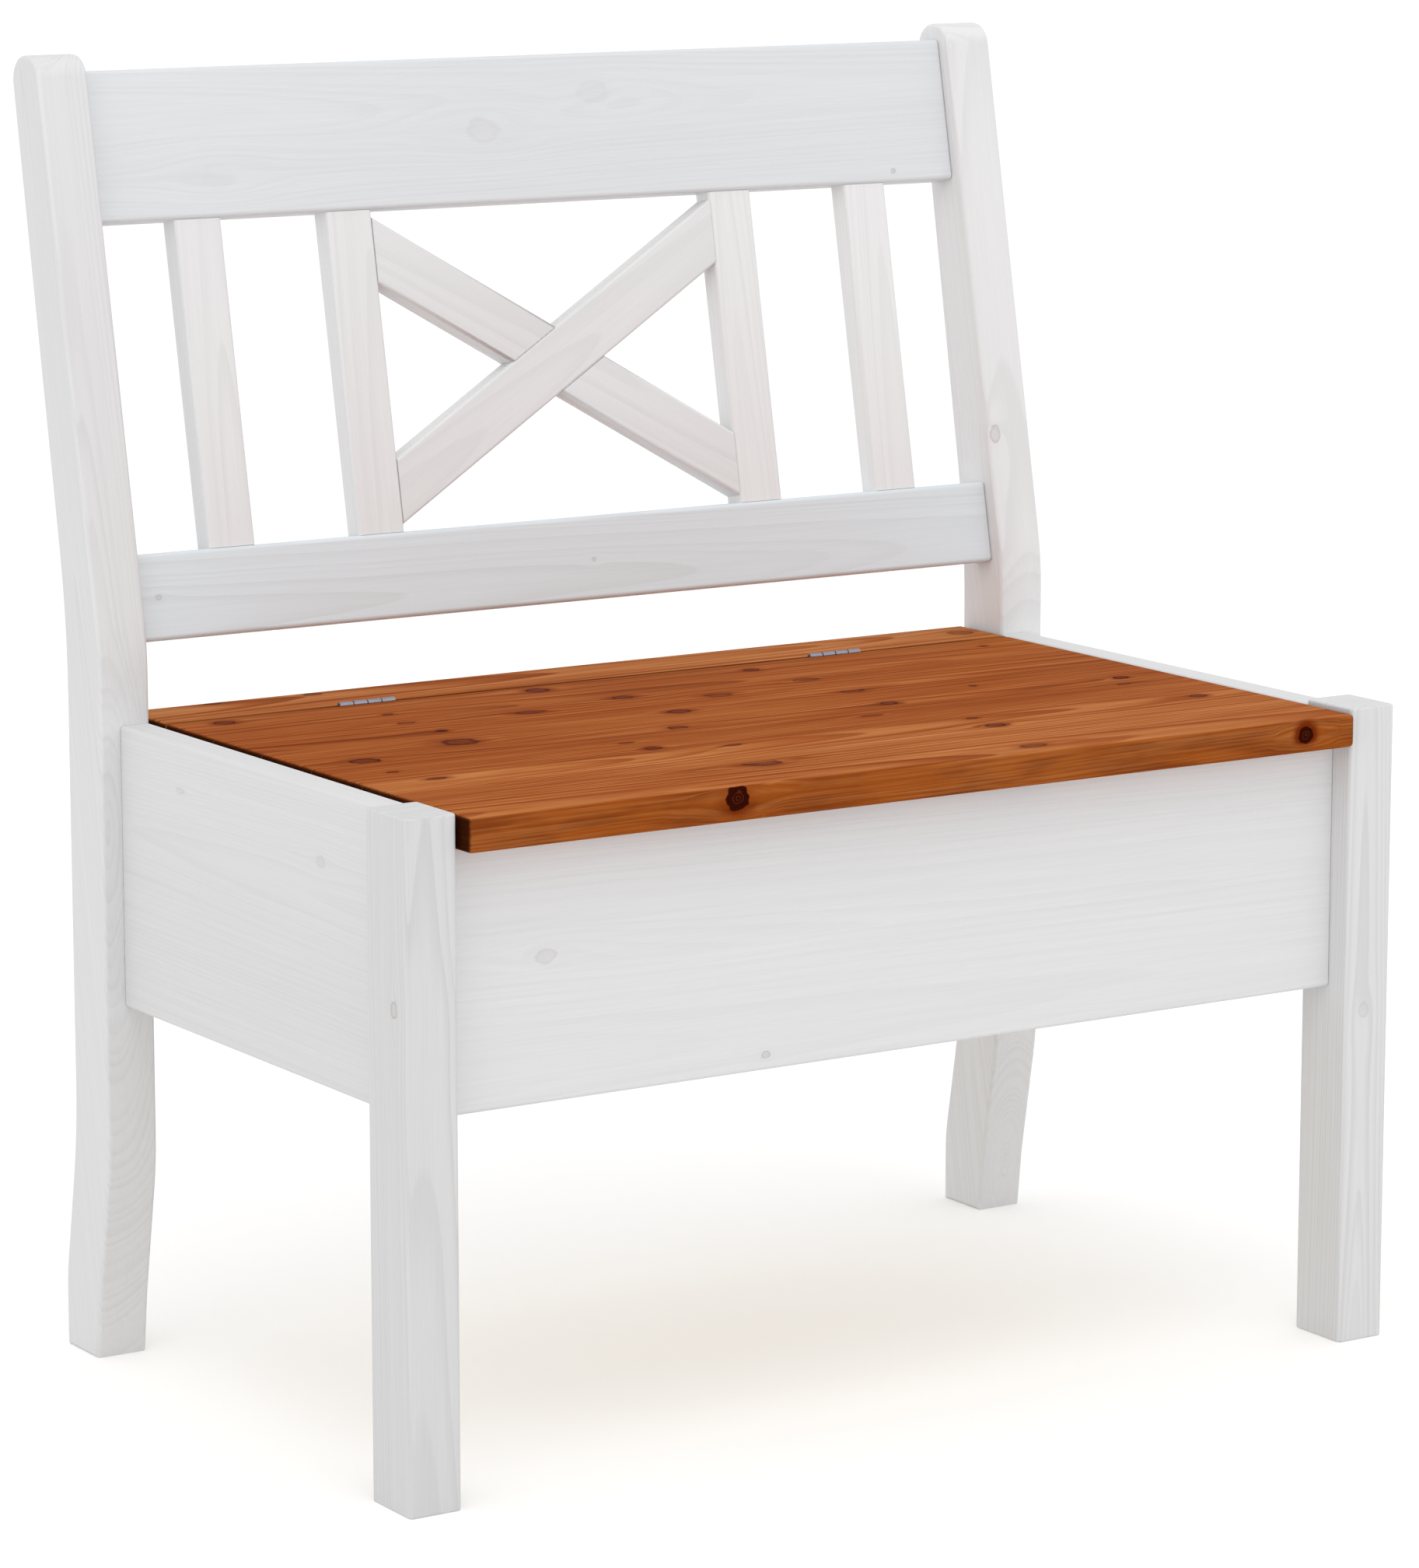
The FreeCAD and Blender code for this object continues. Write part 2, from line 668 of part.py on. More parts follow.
def lid_batten(side):
    """A batten screwed under the lid to keep it flat."""
    centre_x = side * (inner_x - lid_batten_centre)
    half = lid_batten_width / 2
    z_range = (seat_underside - lid_batten_thickness, seat_underside)
    batten = block((centre_x - half, centre_x + half), lid_batten_range(), z_range)
    lower = [edge for edge in batten.Edges if edge.BoundBox.ZMax < seat_underside - near_enough]
    batten = batten.makeChamfer(batten_edge_bevel, lower)
    return cut_all(batten, screws(batten_screw_places(side), screw_gap))


def back_rest():
    """The rails, slats and crossed braces, all leaned back with the posts."""
    pieces = {}
    mortise_depth = tenon_reach(slat_tenon_length, glue_gap)
    lower_mortises = slat_mortises(lower_rail_top_s - mortise_depth, lower_rail_top_s + cut_margin)
    upper_mortises = slat_mortises(top_rail_base_s - cut_margin, top_rail_base_s + mortise_depth)
    pieces["lower_back_rail"] = back_rail(lower_rail_rise, lower_rail_height, lower_mortises)
    pieces["top_rail"] = back_rail(top_rail_base_s, top_rail_height, upper_mortises)
    tenon_ends = (lower_rail_top_s - slat_tenon_length, top_rail_base_s + slat_tenon_length)
    brace_mortises = [brace_tenon(side, level, glue_gap) for side in (-1, 1) for level in (-1, 1)]
    for name, centre in slat_centres.items():
        slat = block(
            (centre - slat_width / 2, centre + slat_width / 2),
            (slat_face_n, slat_face_n + slat_thickness),
            (lower_rail_top_s, top_rail_base_s),
        )
        slat = soften(slat, slat_edge_radius, "Z")
        tenon = slat_tenon(centre, *tenon_ends, 0.0)
        slat = slat.fuse(tenon).removeSplitter()
        pieces[name] = lean_back(cut_all(slat, brace_mortises))
    pieces["cross_brace_rising"] = lean_back(cut_all(brace_bar(1), [lap_notch(1, True)]))
    pieces["cross_brace_falling"] = lean_back(cut_all(brace_bar(-1), [lap_notch(-1, False)]))
    return pieces


def box_pieces():
    """The legs, posts, panels, cleats and floor."""
    pieces = {}
    for side, name in ((-1, "left"), (1, "right")):
        pieces["front_leg_" + name] = front_leg(side)
        pieces["rear_post_" + name] = rear_post(side)
        pieces["side_panel_" + name] = side_panel(side)
    pieces["front_panel"] = front_panel()
    pieces["rear_panel"] = rear_panel()
    for name, bar in cleats().items():
        pieces["floor_cleat_" + name] = bar
    every_cleat_screw = [screw for places in cleat_screw_places().values() for screw in screws(places)]
    pieces["floor_cleat_screws"] = Part.makeCompound(every_cleat_screw)
    pieces["floor_panel"] = floor_panel()
    return pieces


def seat_pieces():
    """The lid, its battens, the fixed board and the two hinges."""
    pieces = {"lid": lid(), "hinge_board": hinge_board()}
    fixed_screws = []
    moving_screws = []
    batten_screws = []
    for side, name in ((-1, "left"), (1, "right")):
        centre_x = side * hinge_centre
        pieces["hinge_fixed_leaf_" + name] = hinge_leaf(centre_x, 1)
        pieces["hinge_moving_leaf_" + name] = hinge_leaf(centre_x, -1)
        pieces["hinge_pin_" + name] = hinge_pin(centre_x)
        pieces["lid_batten_" + name] = lid_batten(side)
        fixed_screws += hinge_screws(centre_x, 1)
        moving_screws += hinge_screws(centre_x, -1)
        batten_screws += screws(batten_screw_places(side))
    pieces["hinge_fixed_screws"] = Part.makeCompound(fixed_screws)
    pieces["hinge_moving_screws"] = Part.makeCompound(moving_screws)
    pieces["lid_batten_screws"] = Part.makeCompound(batten_screws)
    return pieces


def middle_of_depth():
    """Half way between the lid's front edge and the rearmost point of the posts."""
    rear = post_outline().optimalBoundingBox().YMax
    return (rear - lid_nosing) / 2


os.makedirs("parts", exist_ok=True)
bench = {}
bench.update(box_pieces())
bench.update(back_rest())
bench.update(seat_pieces())
shift = vec(0, -middle_of_depth(), 0)
for name, shape in bench.items():
    placed = shape.copy()
    placed.translate(shift)
    placed.exportStep("parts/" + name + ".step")
print(len(bench), "sub-parts")
print("hinge axis at y", round(hinge_axis_y + shift.y, 3), "z", round(hinge_axis_z, 3))
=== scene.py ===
# %% [markdown]
# # A storage bench with a cross back
#
# The bench is a shallow box on four legs. Its seat is the lid of the box, and its rear legs run on
# upwards as the posts of a back rest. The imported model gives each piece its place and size. This
# lesson gives the pieces their rounded edges, their grain and their light, one step at a time.

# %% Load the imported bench
import json
import math
import random
from functools import partial

import bmesh
import bpy
from mathutils import Matrix, Vector

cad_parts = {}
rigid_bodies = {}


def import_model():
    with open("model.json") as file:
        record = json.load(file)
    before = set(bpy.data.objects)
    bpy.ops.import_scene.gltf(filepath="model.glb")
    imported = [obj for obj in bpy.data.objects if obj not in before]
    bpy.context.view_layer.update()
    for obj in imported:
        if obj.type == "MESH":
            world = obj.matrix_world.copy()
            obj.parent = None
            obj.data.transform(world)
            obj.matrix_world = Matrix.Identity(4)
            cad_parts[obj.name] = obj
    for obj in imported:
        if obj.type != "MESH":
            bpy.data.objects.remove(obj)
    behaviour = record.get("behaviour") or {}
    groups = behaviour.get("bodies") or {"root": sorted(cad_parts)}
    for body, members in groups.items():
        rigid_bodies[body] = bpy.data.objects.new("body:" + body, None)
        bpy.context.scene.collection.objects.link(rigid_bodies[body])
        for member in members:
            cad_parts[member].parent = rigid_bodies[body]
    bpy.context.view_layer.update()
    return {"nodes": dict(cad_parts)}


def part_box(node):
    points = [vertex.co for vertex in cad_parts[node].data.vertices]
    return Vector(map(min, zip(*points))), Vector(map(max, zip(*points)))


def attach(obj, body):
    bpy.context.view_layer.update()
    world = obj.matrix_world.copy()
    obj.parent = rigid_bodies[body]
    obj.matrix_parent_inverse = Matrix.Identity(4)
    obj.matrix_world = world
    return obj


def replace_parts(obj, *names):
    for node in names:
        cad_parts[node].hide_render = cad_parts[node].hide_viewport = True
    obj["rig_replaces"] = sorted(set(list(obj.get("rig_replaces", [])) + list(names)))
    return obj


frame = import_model()
nodes = frame["nodes"]

# %% [markdown]
# ## The camera
#
# The bench is seen from its front left corner and from a little above. The lens is long, so the
# far edges are hardly smaller than the near ones. The camera has no shift: it is tilted down
# instead, which keeps the bench in the middle of every other view too.

# %% Set the camera
camera_place = (-2.25696, -3.50440, 1.18531)
camera_turn = math.radians(-32.76)
camera_tilt = math.radians(-10.47)
sensor_side = 36.0
picture_height = 2016
focal_length_in_pixels = 7460.6

camera_data = bpy.data.cameras.new("camera")
camera_data.sensor_width = sensor_side
camera_data.lens = focal_length_in_pixels * sensor_side / picture_height
camera_data.clip_end = 200.0
camera = bpy.data.objects.new("camera", camera_data)
camera.location = camera_place
camera.rotation_euler = (math.pi / 2 + camera_tilt, 0.0, camera_turn)
bpy.context.scene.collection.objects.link(camera)
bpy.context.scene.camera = camera
print("lens", round(camera_data.lens, 1), "mm")

# %% [markdown]
# ## Building shaders from short lines
#
# A procedural material is a tree of small nodes. A few helpers keep the cells below short: the
# first adds a node and sets or links its inputs, and the others add the kinds of node that come up
# most and hand back their result.


# %% Helpers for shader nodes
def add_node(tree, kind, inputs=None, **settings):
    """Adds a node. An input is a value to set or a socket to link, found by its name or number."""
    made = tree.nodes.new(kind)
    for name, value in settings.items():
        setattr(made, name, value)
    for name, value in (inputs or {}).items():
        socket = made.inputs[name]
        if isinstance(value, bpy.types.NodeSocket):
            tree.links.new(value, socket)
        else:
            socket.default_value = value
    return made


def math_of(tree, operation, *values):
    """The result of a math node on up to three values or sockets."""
    return add_node(tree, "ShaderNodeMath", dict(enumerate(values)), operation=operation).outputs[0]


def vector_of(tree, operation, *values, scale=None):
    """The result of a vector math node on vectors or sockets."""
    inputs = dict(enumerate(values))
    if scale is not None:
        inputs["Scale"] = scale
    made = add_node(tree, "ShaderNodeVectorMath", inputs, operation=operation)
    plain = operation in ("LENGTH", "DOT_PRODUCT")
    return made.outputs["Value" if plain else "Vector"]


def ramp_of(tree, value, low, high, to_low=0.0, to_high=1.0, smooth=True):
    """A value mapped from one range to another, with soft ends unless told otherwise."""
    kind = "SMOOTHSTEP" if smooth else "LINEAR"
    inputs = {"Value": value, 1: low, 2: high, 3: to_low, 4: to_high}
    return add_node(tree, "ShaderNodeMapRange", inputs, interpolation_type=kind).outputs[0]


def mix_of(tree, factor, first, second):
    """Two colours mixed by a factor."""
    inputs = {0: factor, 6: first, 7: second}
    return add_node(tree, "ShaderNodeMix", inputs, data_type="RGBA").outputs[2]


def vector_from(tree, x=0.0, y=0.0, z=0.0):
    """A vector made of three numbers."""
    return add_node(tree, "ShaderNodeCombineXYZ", {0: x, 1: y, 2: z}).outputs[0]


def parts_of(tree, vector):
    """The three numbers of a vector."""
    return add_node(tree, "ShaderNodeSeparateXYZ", {0: vector}).outputs


def noise_of(tree, vector, scale=1.0, detail=2.0, roughness=0.5, dimensions="3D"):
    """Smooth noise with a mean near one half."""
    name = "W" if dimensions == "1D" else "Vector"
    inputs = {name: vector, "Scale": scale, "Detail": detail, "Roughness": roughness}
    return add_node(tree, "ShaderNodeTexNoise", inputs, noise_dimensions=dimensions)


def new_group(name, inputs, outputs, tree_kind="ShaderNodeTree"):
    """A node group with named inputs and outputs, and its two end nodes."""
    tree = bpy.data.node_groups.new(name, tree_kind)
    for label, kind, value in inputs:
        socket = tree.interface.new_socket(label, in_out="INPUT", socket_type="NodeSocket" + kind)
        if value is not None:
            socket.default_value = value
    for label, kind in outputs:
        tree.interface.new_socket(label, in_out="OUTPUT", socket_type="NodeSocket" + kind)
    return tree, tree.nodes.new("NodeGroupInput"), tree.nodes.new("NodeGroupOutput")


print("shader helpers ready")

# %% [markdown]
# ## How pine grows
#
# A pine trunk is a stack of rings: pale early wood, then a thin darker line of late wood. A board
# is cut somewhere out of that trunk, so the lines on its faces follow from where the trunk's
# centre, the pith, ran. Each board here carries an attribute called grain: its points measured
# along the trunk (first number) and across it from the pith (the other two). One node group then
# draws the same kind of tree in each board, and the end grain comes out as arcs all by itself.

# %% The rings and fibres of pine
pine_figure, given, result = new_group(
    "pine_figure",
    [("Grain", "Vector", (0, 0, 0)), ("Ring Width", "Float", 0.003), ("Wander", "Float", 0.012)],
    [("Late", "Float"), ("Fibre", "Float"), ("Streak", "Float"), ("Cloud", "Float")],
)
ACROSS_ONLY = (0.0, 1.0, 1.0)
trunk_taper = 0.014
ring_unevenness, unevenness_rate = 2.6, 0.31
late_starts, late_peaks = 0.30, 0.93
weakest_ring = 0.35


def stretched_noise(tree, vector, along, across, *texture):
    """Noise drawn out along the grain: how fine it is along and across, then its texture."""
    vector = vector_of(tree, "MULTIPLY", vector, (along, across, across))
    return noise_of(tree, vector, 1.0, *texture)


raw = given.outputs["Grain"]
sway = stretched_noise(pine_figure, raw, 1.6, 9.0).outputs["Color"]
sway = vector_of(pine_figure, "SUBTRACT", sway, (0.5, 0.5, 0.5))
sway = vector_of(pine_figure, "MULTIPLY", sway, ACROSS_ONLY)
sway = vector_of(pine_figure, "SCALE", sway, scale=given.outputs["Wander"])
swayed = vector_of(pine_figure, "ADD", raw, sway)
from_pith = vector_of(pine_figure, "MULTIPLY", swayed, ACROSS_ONLY)
from_pith = vector_of(pine_figure, "LENGTH", from_pith)
up_trunk = parts_of(pine_figure, swayed)[0]
from_pith = math_of(pine_figure, "MULTIPLY_ADD", up_trunk, trunk_taper, from_pith)
rings = math_of(pine_figure, "DIVIDE", from_pith, given.outputs["Ring Width"])
uneven = noise_of(pine_figure, rings, unevenness_rate, 1.0, dimensions="1D").outputs["Fac"]
rings = math_of(pine_figure, "MULTIPLY_ADD", uneven, ring_unevenness, rings)
season = math_of(pine_figure, "FRACT", rings)
ring_number = math_of(pine_figure, "FLOOR", rings)
vigour = add_node(pine_figure, "ShaderNodeTexWhiteNoise", {"W": ring_number}, noise_dimensions="1D")
rise = ramp_of(pine_figure, season, late_starts, late_peaks)
fall = ramp_of(pine_figure, season, late_peaks, 1.0, 1.0, 0.0)
late = math_of(pine_figure, "MULTIPLY", rise, fall)
strength = ramp_of(pine_figure, vigour.outputs["Value"], 0.0, 1.0, weakest_ring, 1.0, smooth=False)
drawn = {
    "Late": math_of(pine_figure, "MULTIPLY", late, strength),
    "Fibre": stretched_noise(pine_figure, swayed, 9.0, 620.0, 3.0, 0.65).outputs["Fac"],
    "Streak": stretched_noise(pine_figure, swayed, 2.4, 85.0, 2.0, 0.6).outputs["Fac"],
    "Cloud": stretched_noise(pine_figure, raw, 2.2, 10.0, 2.0).outputs["Fac"],
}
for label, socket in drawn.items():
    pine_figure.links.new(socket, result.inputs[label])
print("pine_figure has", len(pine_figure.nodes), "nodes")

# %% [markdown]
# ## Knots
#
# A knot is the root of a branch. The rings flow round it like water round a stone, and inside it
# are rings of its own, round the branch. The group below takes one branch, in the numbers of the
# grain attribute: it pushes the rings aside, draws the branch with a dark rim, and passes both on,
# so that groups can be chained. A board's numbers start at a place of its own along the trunk, so
# a knot of one board never shows in another.

# %% One knot, as a group to be chained
pine_knot, given, result = new_group(
    "pine_knot",
    [
        ("Grain", "Vector", (0, 0, 0)),
        ("Knot", "Float", 0.0),
        ("Rim", "Float", 0.0),
        ("Halo", "Float", 0.0),
        ("Start", "Vector", (0, 0, 0)),
        ("Wobble", "Float", 0.0),
        ("Place", "Vector", (0, 0, 0)),
        ("Axis", "Vector", (0, 0, 1)),
        ("Radius", "Float", 0.006),
        ("Stretch", "Float", 1.4),
        ("Depth", "Float", 1.0),
        ("Reach", "Float", 0.05),
        ("Chill", "Float", 0.0),
        ("Cold", "Float", 0.0),
    ],
    [("Grain", "Vector"), *((label, "Float") for label in ("Knot", "Rim", "Halo", "Chill"))],
)
flow_stretch, flow_reach, flow_sharpness, most_pull = 0.45, 1.8, 3.0, 0.9
own_ring_width, own_ring_light = 0.17, 0.78
rim_at = 0.96


def knot_math(operation, *values):
    return math_of(pine_knot, operation, *values)


def distance_from_branch(shorter):
    """How far a place lies from the branch, in radii, with the length along the grain shortened."""
    squeezed = vector_of(pine_knot, "MULTIPLY", aside, vector_from(pine_knot, shorter, 1.0, 1.0))
    return knot_math("DIVIDE", vector_of(pine_knot, "LENGTH", squeezed), given.outputs["Radius"])


offset = vector_of(pine_knot, "SUBTRACT", given.outputs["Start"], given.outputs["Place"])
up_branch = vector_of(pine_knot, "DOT_PRODUCT", offset, given.outputs["Axis"])
along_branch = vector_of(pine_knot, "SCALE", given.outputs["Axis"], scale=up_branch)
aside = vector_of(pine_knot, "SUBTRACT", offset, along_branch)
shorter = knot_math("DIVIDE", 1.0, given.outputs["Stretch"])
near = knot_math("ADD", distance_from_branch(shorter), given.outputs["Wobble"])
flow = distance_from_branch(knot_math("MULTIPLY", shorter, flow_stretch))
past_end = knot_math("DIVIDE", knot_math("ABSOLUTE", up_branch), given.outputs["Reach"])
present = ramp_of(pine_knot, past_end, 1.0, 1.5, 1.0, 0.0)
pull = knot_math("POWER", knot_math("DIVIDE", flow, flow_reach), flow_sharpness)
pull = knot_math("DIVIDE", 1.0, knot_math("ADD", 1.0, pull))
pull = knot_math("MULTIPLY", knot_math("MULTIPLY", pull, present), -most_pull)
across = vector_of(pine_knot, "MULTIPLY", aside, ACROSS_ONLY)
push = vector_of(pine_knot, "SCALE", across, scale=pull)
depth = knot_math("MULTIPLY", given.outputs["Depth"], present)
own_ring = knot_math("PINGPONG", near, own_ring_width)
own_ring = ramp_of(pine_knot, own_ring, 0.03, 0.15, 1.0, own_ring_light)
body = knot_math("MULTIPLY", ramp_of(pine_knot, near, 0.84, 1.02, 1.0, 0.0), depth)
body = knot_math("MULTIPLY", body, own_ring)
from_rim = knot_math("ABSOLUTE", knot_math("SUBTRACT", near, rim_at))
drawn = {
    "Knot": body,
    "Rim": knot_math("MULTIPLY", ramp_of(pine_knot, from_rim, 0.04, 0.24, 1.0, 0.0), depth),
    "Halo": knot_math("MULTIPLY", ramp_of(pine_knot, near, 0.9, 2.6, 1.0, 0.0), depth),
    "Chill": knot_math("MULTIPLY", body, given.outputs["Cold"]),
}
for label, socket in drawn.items():
    pine_knot.links.new(knot_math("MAXIMUM", given.outputs[label], socket), result.inputs[label])
bent = vector_of(pine_knot, "ADD", given.outputs["Grain"], push)
pine_knot.links.new(bent, result.inputs["Grain"])
print("pine_knot has", len(pine_knot.nodes), "nodes")

# %% [markdown]
# ## A board that knows its grain
#
# Most pieces are boards. A board starts as a box whose edges are rounded with a bevel of several
# segments. Then each corner of each face gets its attributes. Grain comes from one matrix for each
# stave, because the wide boards are glued up from narrow staves, and each stave came from a
# different trunk. Stave holds where in its stave a corner lies, the stave's tone and how much of
# end grain a face is. Edge says how far a face turns away from the board's broad side. The table
# of tones paints light and shade into the pieces: a lower tone paints a piece darker, a higher one
# paler, and the rest get one half.


# %% Boards and their grain
AXES = {"X": Vector((1, 0, 0)), "Y": Vector((0, 1, 0)), "Z": Vector((0, 0, 1))}
FRONT = Vector((0, -1, 0))
same_place = 1e-5
nearly_parallel = 0.999
sharp_from = math.radians(38)
wide_face_weight = 90
pith_depths = (0.035, 0.080)
pith_side_of_stave, pith_side_of_board = 0.07, 0.02
trunk_length = 12
tone_spread = 0.035
glue_line_margin = 0.05
# Painted light and shade: each piece's tone, darker below one half and paler above it.
TONES_WITH_PAINTED_LIGHT = {
    "front_leg_left": 0.10, "front_leg_right": 0.32, "side_panel_left": 0.25,
    "side_panel_right": 0.30, "rear_post_left": 0.36, "rear_post_right": 0.60,
    "front_panel": 0.43, "top_rail": 0.40, "lower_back_rail": 0.44,
}
grain_of_piece = {}


def box_mesh(low, high):
    """A bare box between two corners."""
    bm = bmesh.new()
    bmesh.ops.create_cube(bm, size=1.0)
    low, high = Vector(low), Vector(high)
    for vert in bm.verts:
        vert.co = Vector(low[i] + (vert.co[i] + 0.5) * (high[i] - low[i]) for i in range(3))
    return bm


def round_edges(bm, radius, chosen, segments=4):
    """Rounds the edges that a test picks."""
    edges = [edge for edge in bm.edges if chosen(edge)]
    bmesh.ops.bevel(
        bm, geom=edges, offset=radius, offset_type="OFFSET", segments=segments, profile=0.5,
        affect="EDGES", clamp_overlap=False,
    )


def runs_along(direction):
    """A test for edges that run along a direction."""

    def test(edge):
        start, end = (vert.co for vert in edge.verts)
        return abs((end - start).normalized().dot(direction)) > nearly_parallel

    return test


def lies_on(index, *values):
    """A test for edges that lie whole in a plane, for an axis number and one value or more."""

    def test(edge):
        ends = [vert.co[index] for vert in edge.verts]
        return any(all(abs(end - value) < same_place for end in ends) for value in values)

    return test


def drawn_out(outline, push):
    """A closed mesh made of an outline that is drawn out along a vector."""
    bm = bmesh.new()
    face = bm.faces.new([bm.verts.new(point) for point in outline])
    grown = bmesh.ops.extrude_face_region(bm, geom=[face])["geom"]
    far = [item for item in grown if isinstance(item, bmesh.types.BMVert)]
    bmesh.ops.translate(bm, verts=far, vec=push)
    bmesh.ops.recalc_face_normals(bm, faces=bm.faces)
    return bm


def grain_matrix(along, face_up, middle, pith_side, pith_depth, shift):
    """The matrix from a place in the bench to its place in the trunk."""
    side = face_up.cross(along)
    rows = zip((along, side, face_up), (shift, pith_side, pith_depth))
    return Matrix([(*row, offset - row.dot(middle)) for row, offset in rows] + [(0, 0, 0, 1)])


def trunk_places(name, count, face_up, along, low, high):
    """One grain matrix for each stave, the staves being counted along the board's width."""
    chance = random.Random(name)
    width_axis = face_up.cross(along)
    spans = sorted((width_axis.dot(Vector(low)), width_axis.dot(Vector(high))))
    middle = (Vector(low) + Vector(high)) / 2
    staves = []
    for index in range(count):
        centre = spans[0] + (index + 0.5) * (spans[1] - spans[0]) / count
        place = middle + width_axis * (centre - width_axis.dot(middle))
        depth = chance.choice((-1, 1)) * chance.uniform(*pith_depths)
        most = pith_side_of_stave if count > 1 else pith_side_of_board
        side = chance.uniform(-most, most)
        shift = chance.uniform(-trunk_length, trunk_length)
        staves.append(grain_matrix(along, face_up, place, side, depth, shift))
    # Each stave's tone is the piece's painted light from the table, with a small random spread.
    tones = [TONES_WITH_PAINTED_LIGHT.get(name, 0.5) + chance.uniform(-tone_spread, tone_spread) for _ in staves]
    return {
        "across": width_axis, "along": along, "up": face_up,
        "spans": spans, "staves": staves, "tones": tones,
    }


def stave_number(grain, point):
    """Which stave a place lies in, and how far through the staves it is."""
    start, end = grain["spans"]
    count = len(grain["staves"])
    share = (grain["across"].dot(point) - start) / (end - start) * count
    return min(max(int(share), 0), count - 1), share


def smooth(mesh):
    """Shades a mesh as smooth, apart from its sharp edges."""
    mesh.shade_smooth()
    mesh.set_sharp_from_angle(angle=sharp_from)


def new_piece(bm, name, grain=None, place=None):
    """Makes an object of a mesh, carried to its place first, and writes its grain."""
    if place is not None:
        bmesh.ops.transform(bm, matrix=place, verts=bm.verts)
    bmesh.ops.recalc_face_normals(bm, faces=bm.faces)
    mesh = bpy.data.meshes.new(name)
    bm.to_mesh(mesh)
    bm.free()
    piece = bpy.data.objects.new(name, mesh)
    bpy.context.scene.collection.objects.link(piece)
    smooth(mesh)
    if grain is not None:
        write_grain(piece, grain)
    return piece


def write_grain(piece, grain):
    """Writes grain, stave (its side -1 to 1, its tone, end grain 0 to 1) and edge (0 to 1)."""
    mesh = piece.data
    grain_of_piece[piece.name] = grain
    count = len(grain["staves"])
    places, staves, edges = [], [], []
    for face in mesh.polygons:
        number, _ = stave_number(grain, face.center)
        end = abs(face.normal.dot(grain["along"]))
        edges.extend([1 - abs(face.normal.dot(grain["up"]))] * len(face.vertices))
        for index in face.vertices:
            point = mesh.vertices[index].co
            share = stave_number(grain, point)[1]
            share = min(max(share, glue_line_margin), count - glue_line_margin)
            side = 2 * (share - number) - 1 if count > 1 else 0.0
            places.extend(grain["staves"][number] @ point)
            staves.extend((side, grain["tones"][number], end))
    for label, values in (("grain", places), ("stave", staves)):
        mesh.attributes.new(label, "FLOAT_VECTOR", "CORNER").data.foreach_set("vector", values)
    mesh.attributes.new("edge", "FLOAT", "CORNER").data.foreach_set("value", edges)


def bake_modifiers(piece):
    """Turns a piece with modifiers into a plain mesh."""
    seen = piece.evaluated_get(bpy.context.evaluated_depsgraph_get())
    mesh = bpy.data.meshes.new_from_object(seen)
    piece.modifiers.clear()
    piece.data = mesh
    return piece


def even_shading(piece):
    """Lets wide faces rule the normals, so that only the rounded edges shade as round."""
    weigh = piece.modifiers.new("weigh", "WEIGHTED_NORMAL")
    weigh.keep_sharp = True
    weigh.weight = wide_face_weight
    return bake_modifiers(piece)


print("board helpers ready")

# %% [markdown]
# ## The finishes, by name
#
# The pieces below ask for their finish by name. The four finishes are made empty here and get
# their nodes once the pieces stand, because the knots are placed by the pieces' own grain.

# %% Name the finishes
FINISHES = ("white_glazed_pine", "stained_pine", "birch_plywood", "zinc_steel")
finishes = {name: bpy.data.materials.new(name) for name in FINISHES}


def dress(piece, finish, body, *nodes_stood_for):
    """Gives a piece its finish, lets it ride on a body, and hides the nodes it stands for."""
    piece.data.materials.clear()
    piece.data.materials.append(finishes[finish])
    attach(piece, body)
    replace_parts(piece, *nodes_stood_for)
    return piece


def white_board(bm, name, grain):
    """A board of the frame, made of its mesh and its grain and glazed white."""
    board = even_shading(new_piece(bm, name + "_pine", grain))
    return dress(board, "white_glazed_pine", "frame", name)


print("finishes", ", ".join(finishes))

# %% [markdown]
# ## The front legs
#
# A front leg is a straight post of pine, planed square, with its long edges rounded over by a
# router and its top edges eased by hand. A box with three bevels is all it takes: the long edges
# first, then the loop round the top, and last the loop round the foot.

# %% Make the front legs
leg_edge = 0.003
leg_top_edge = 0.0019
leg_foot_edge = 0.0012


def make_front_leg(side):
    name = "front_leg_" + side
    low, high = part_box(name)
    bm = box_mesh(low, high)
    round_edges(bm, leg_edge, runs_along(AXES["Z"]))
    round_edges(bm, leg_top_edge, lies_on(2, high.z), 3)
    round_edges(bm, leg_foot_edge, lies_on(2, low.z), 2)
    return white_board(bm, name, trunk_places(name, 1, FRONT, AXES["Z"], low, high))


front_legs = [make_front_leg(side) for side in ("left", "right")]
print("front legs", [len(leg.data.polygons) for leg in front_legs], "faces")

# %% [markdown]
# ## The plane of the back rest
#
# Rails, slats and braces all lie in one plane that leans back with the posts. It is easier to
# build them upright and lean them afterwards, so the angle is read from the widest face of the
# top rail, and one matrix carries (along X, rearwards, upwards) into the leaned place.

# %% Find the lean of the back rest
def merged_copy(node):
    """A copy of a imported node's mesh with its loose triangles joined."""
    bm = bmesh.new()
    bm.from_mesh(nodes[node].data)
    bmesh.ops.remove_doubles(bm, verts=bm.verts, dist=same_place)
    return bm


rail_faces = merged_copy("top_rail")
widest = max(rail_faces.faces, key=lambda face: face.calc_area() if face.normal.y < -0.5 else 0)
front_normal = widest.normal.copy()
rail_faces.free()
lean = -math.atan2(-front_normal.z, -front_normal.y)
rearwards = Vector((0, math.cos(lean), -math.sin(lean)))
upwards = Vector((0, math.sin(lean), math.cos(lean)))
lean_matrix = Matrix((AXES["X"], rearwards, upwards)).transposed().to_4x4()
upright = lean_matrix.inverted()


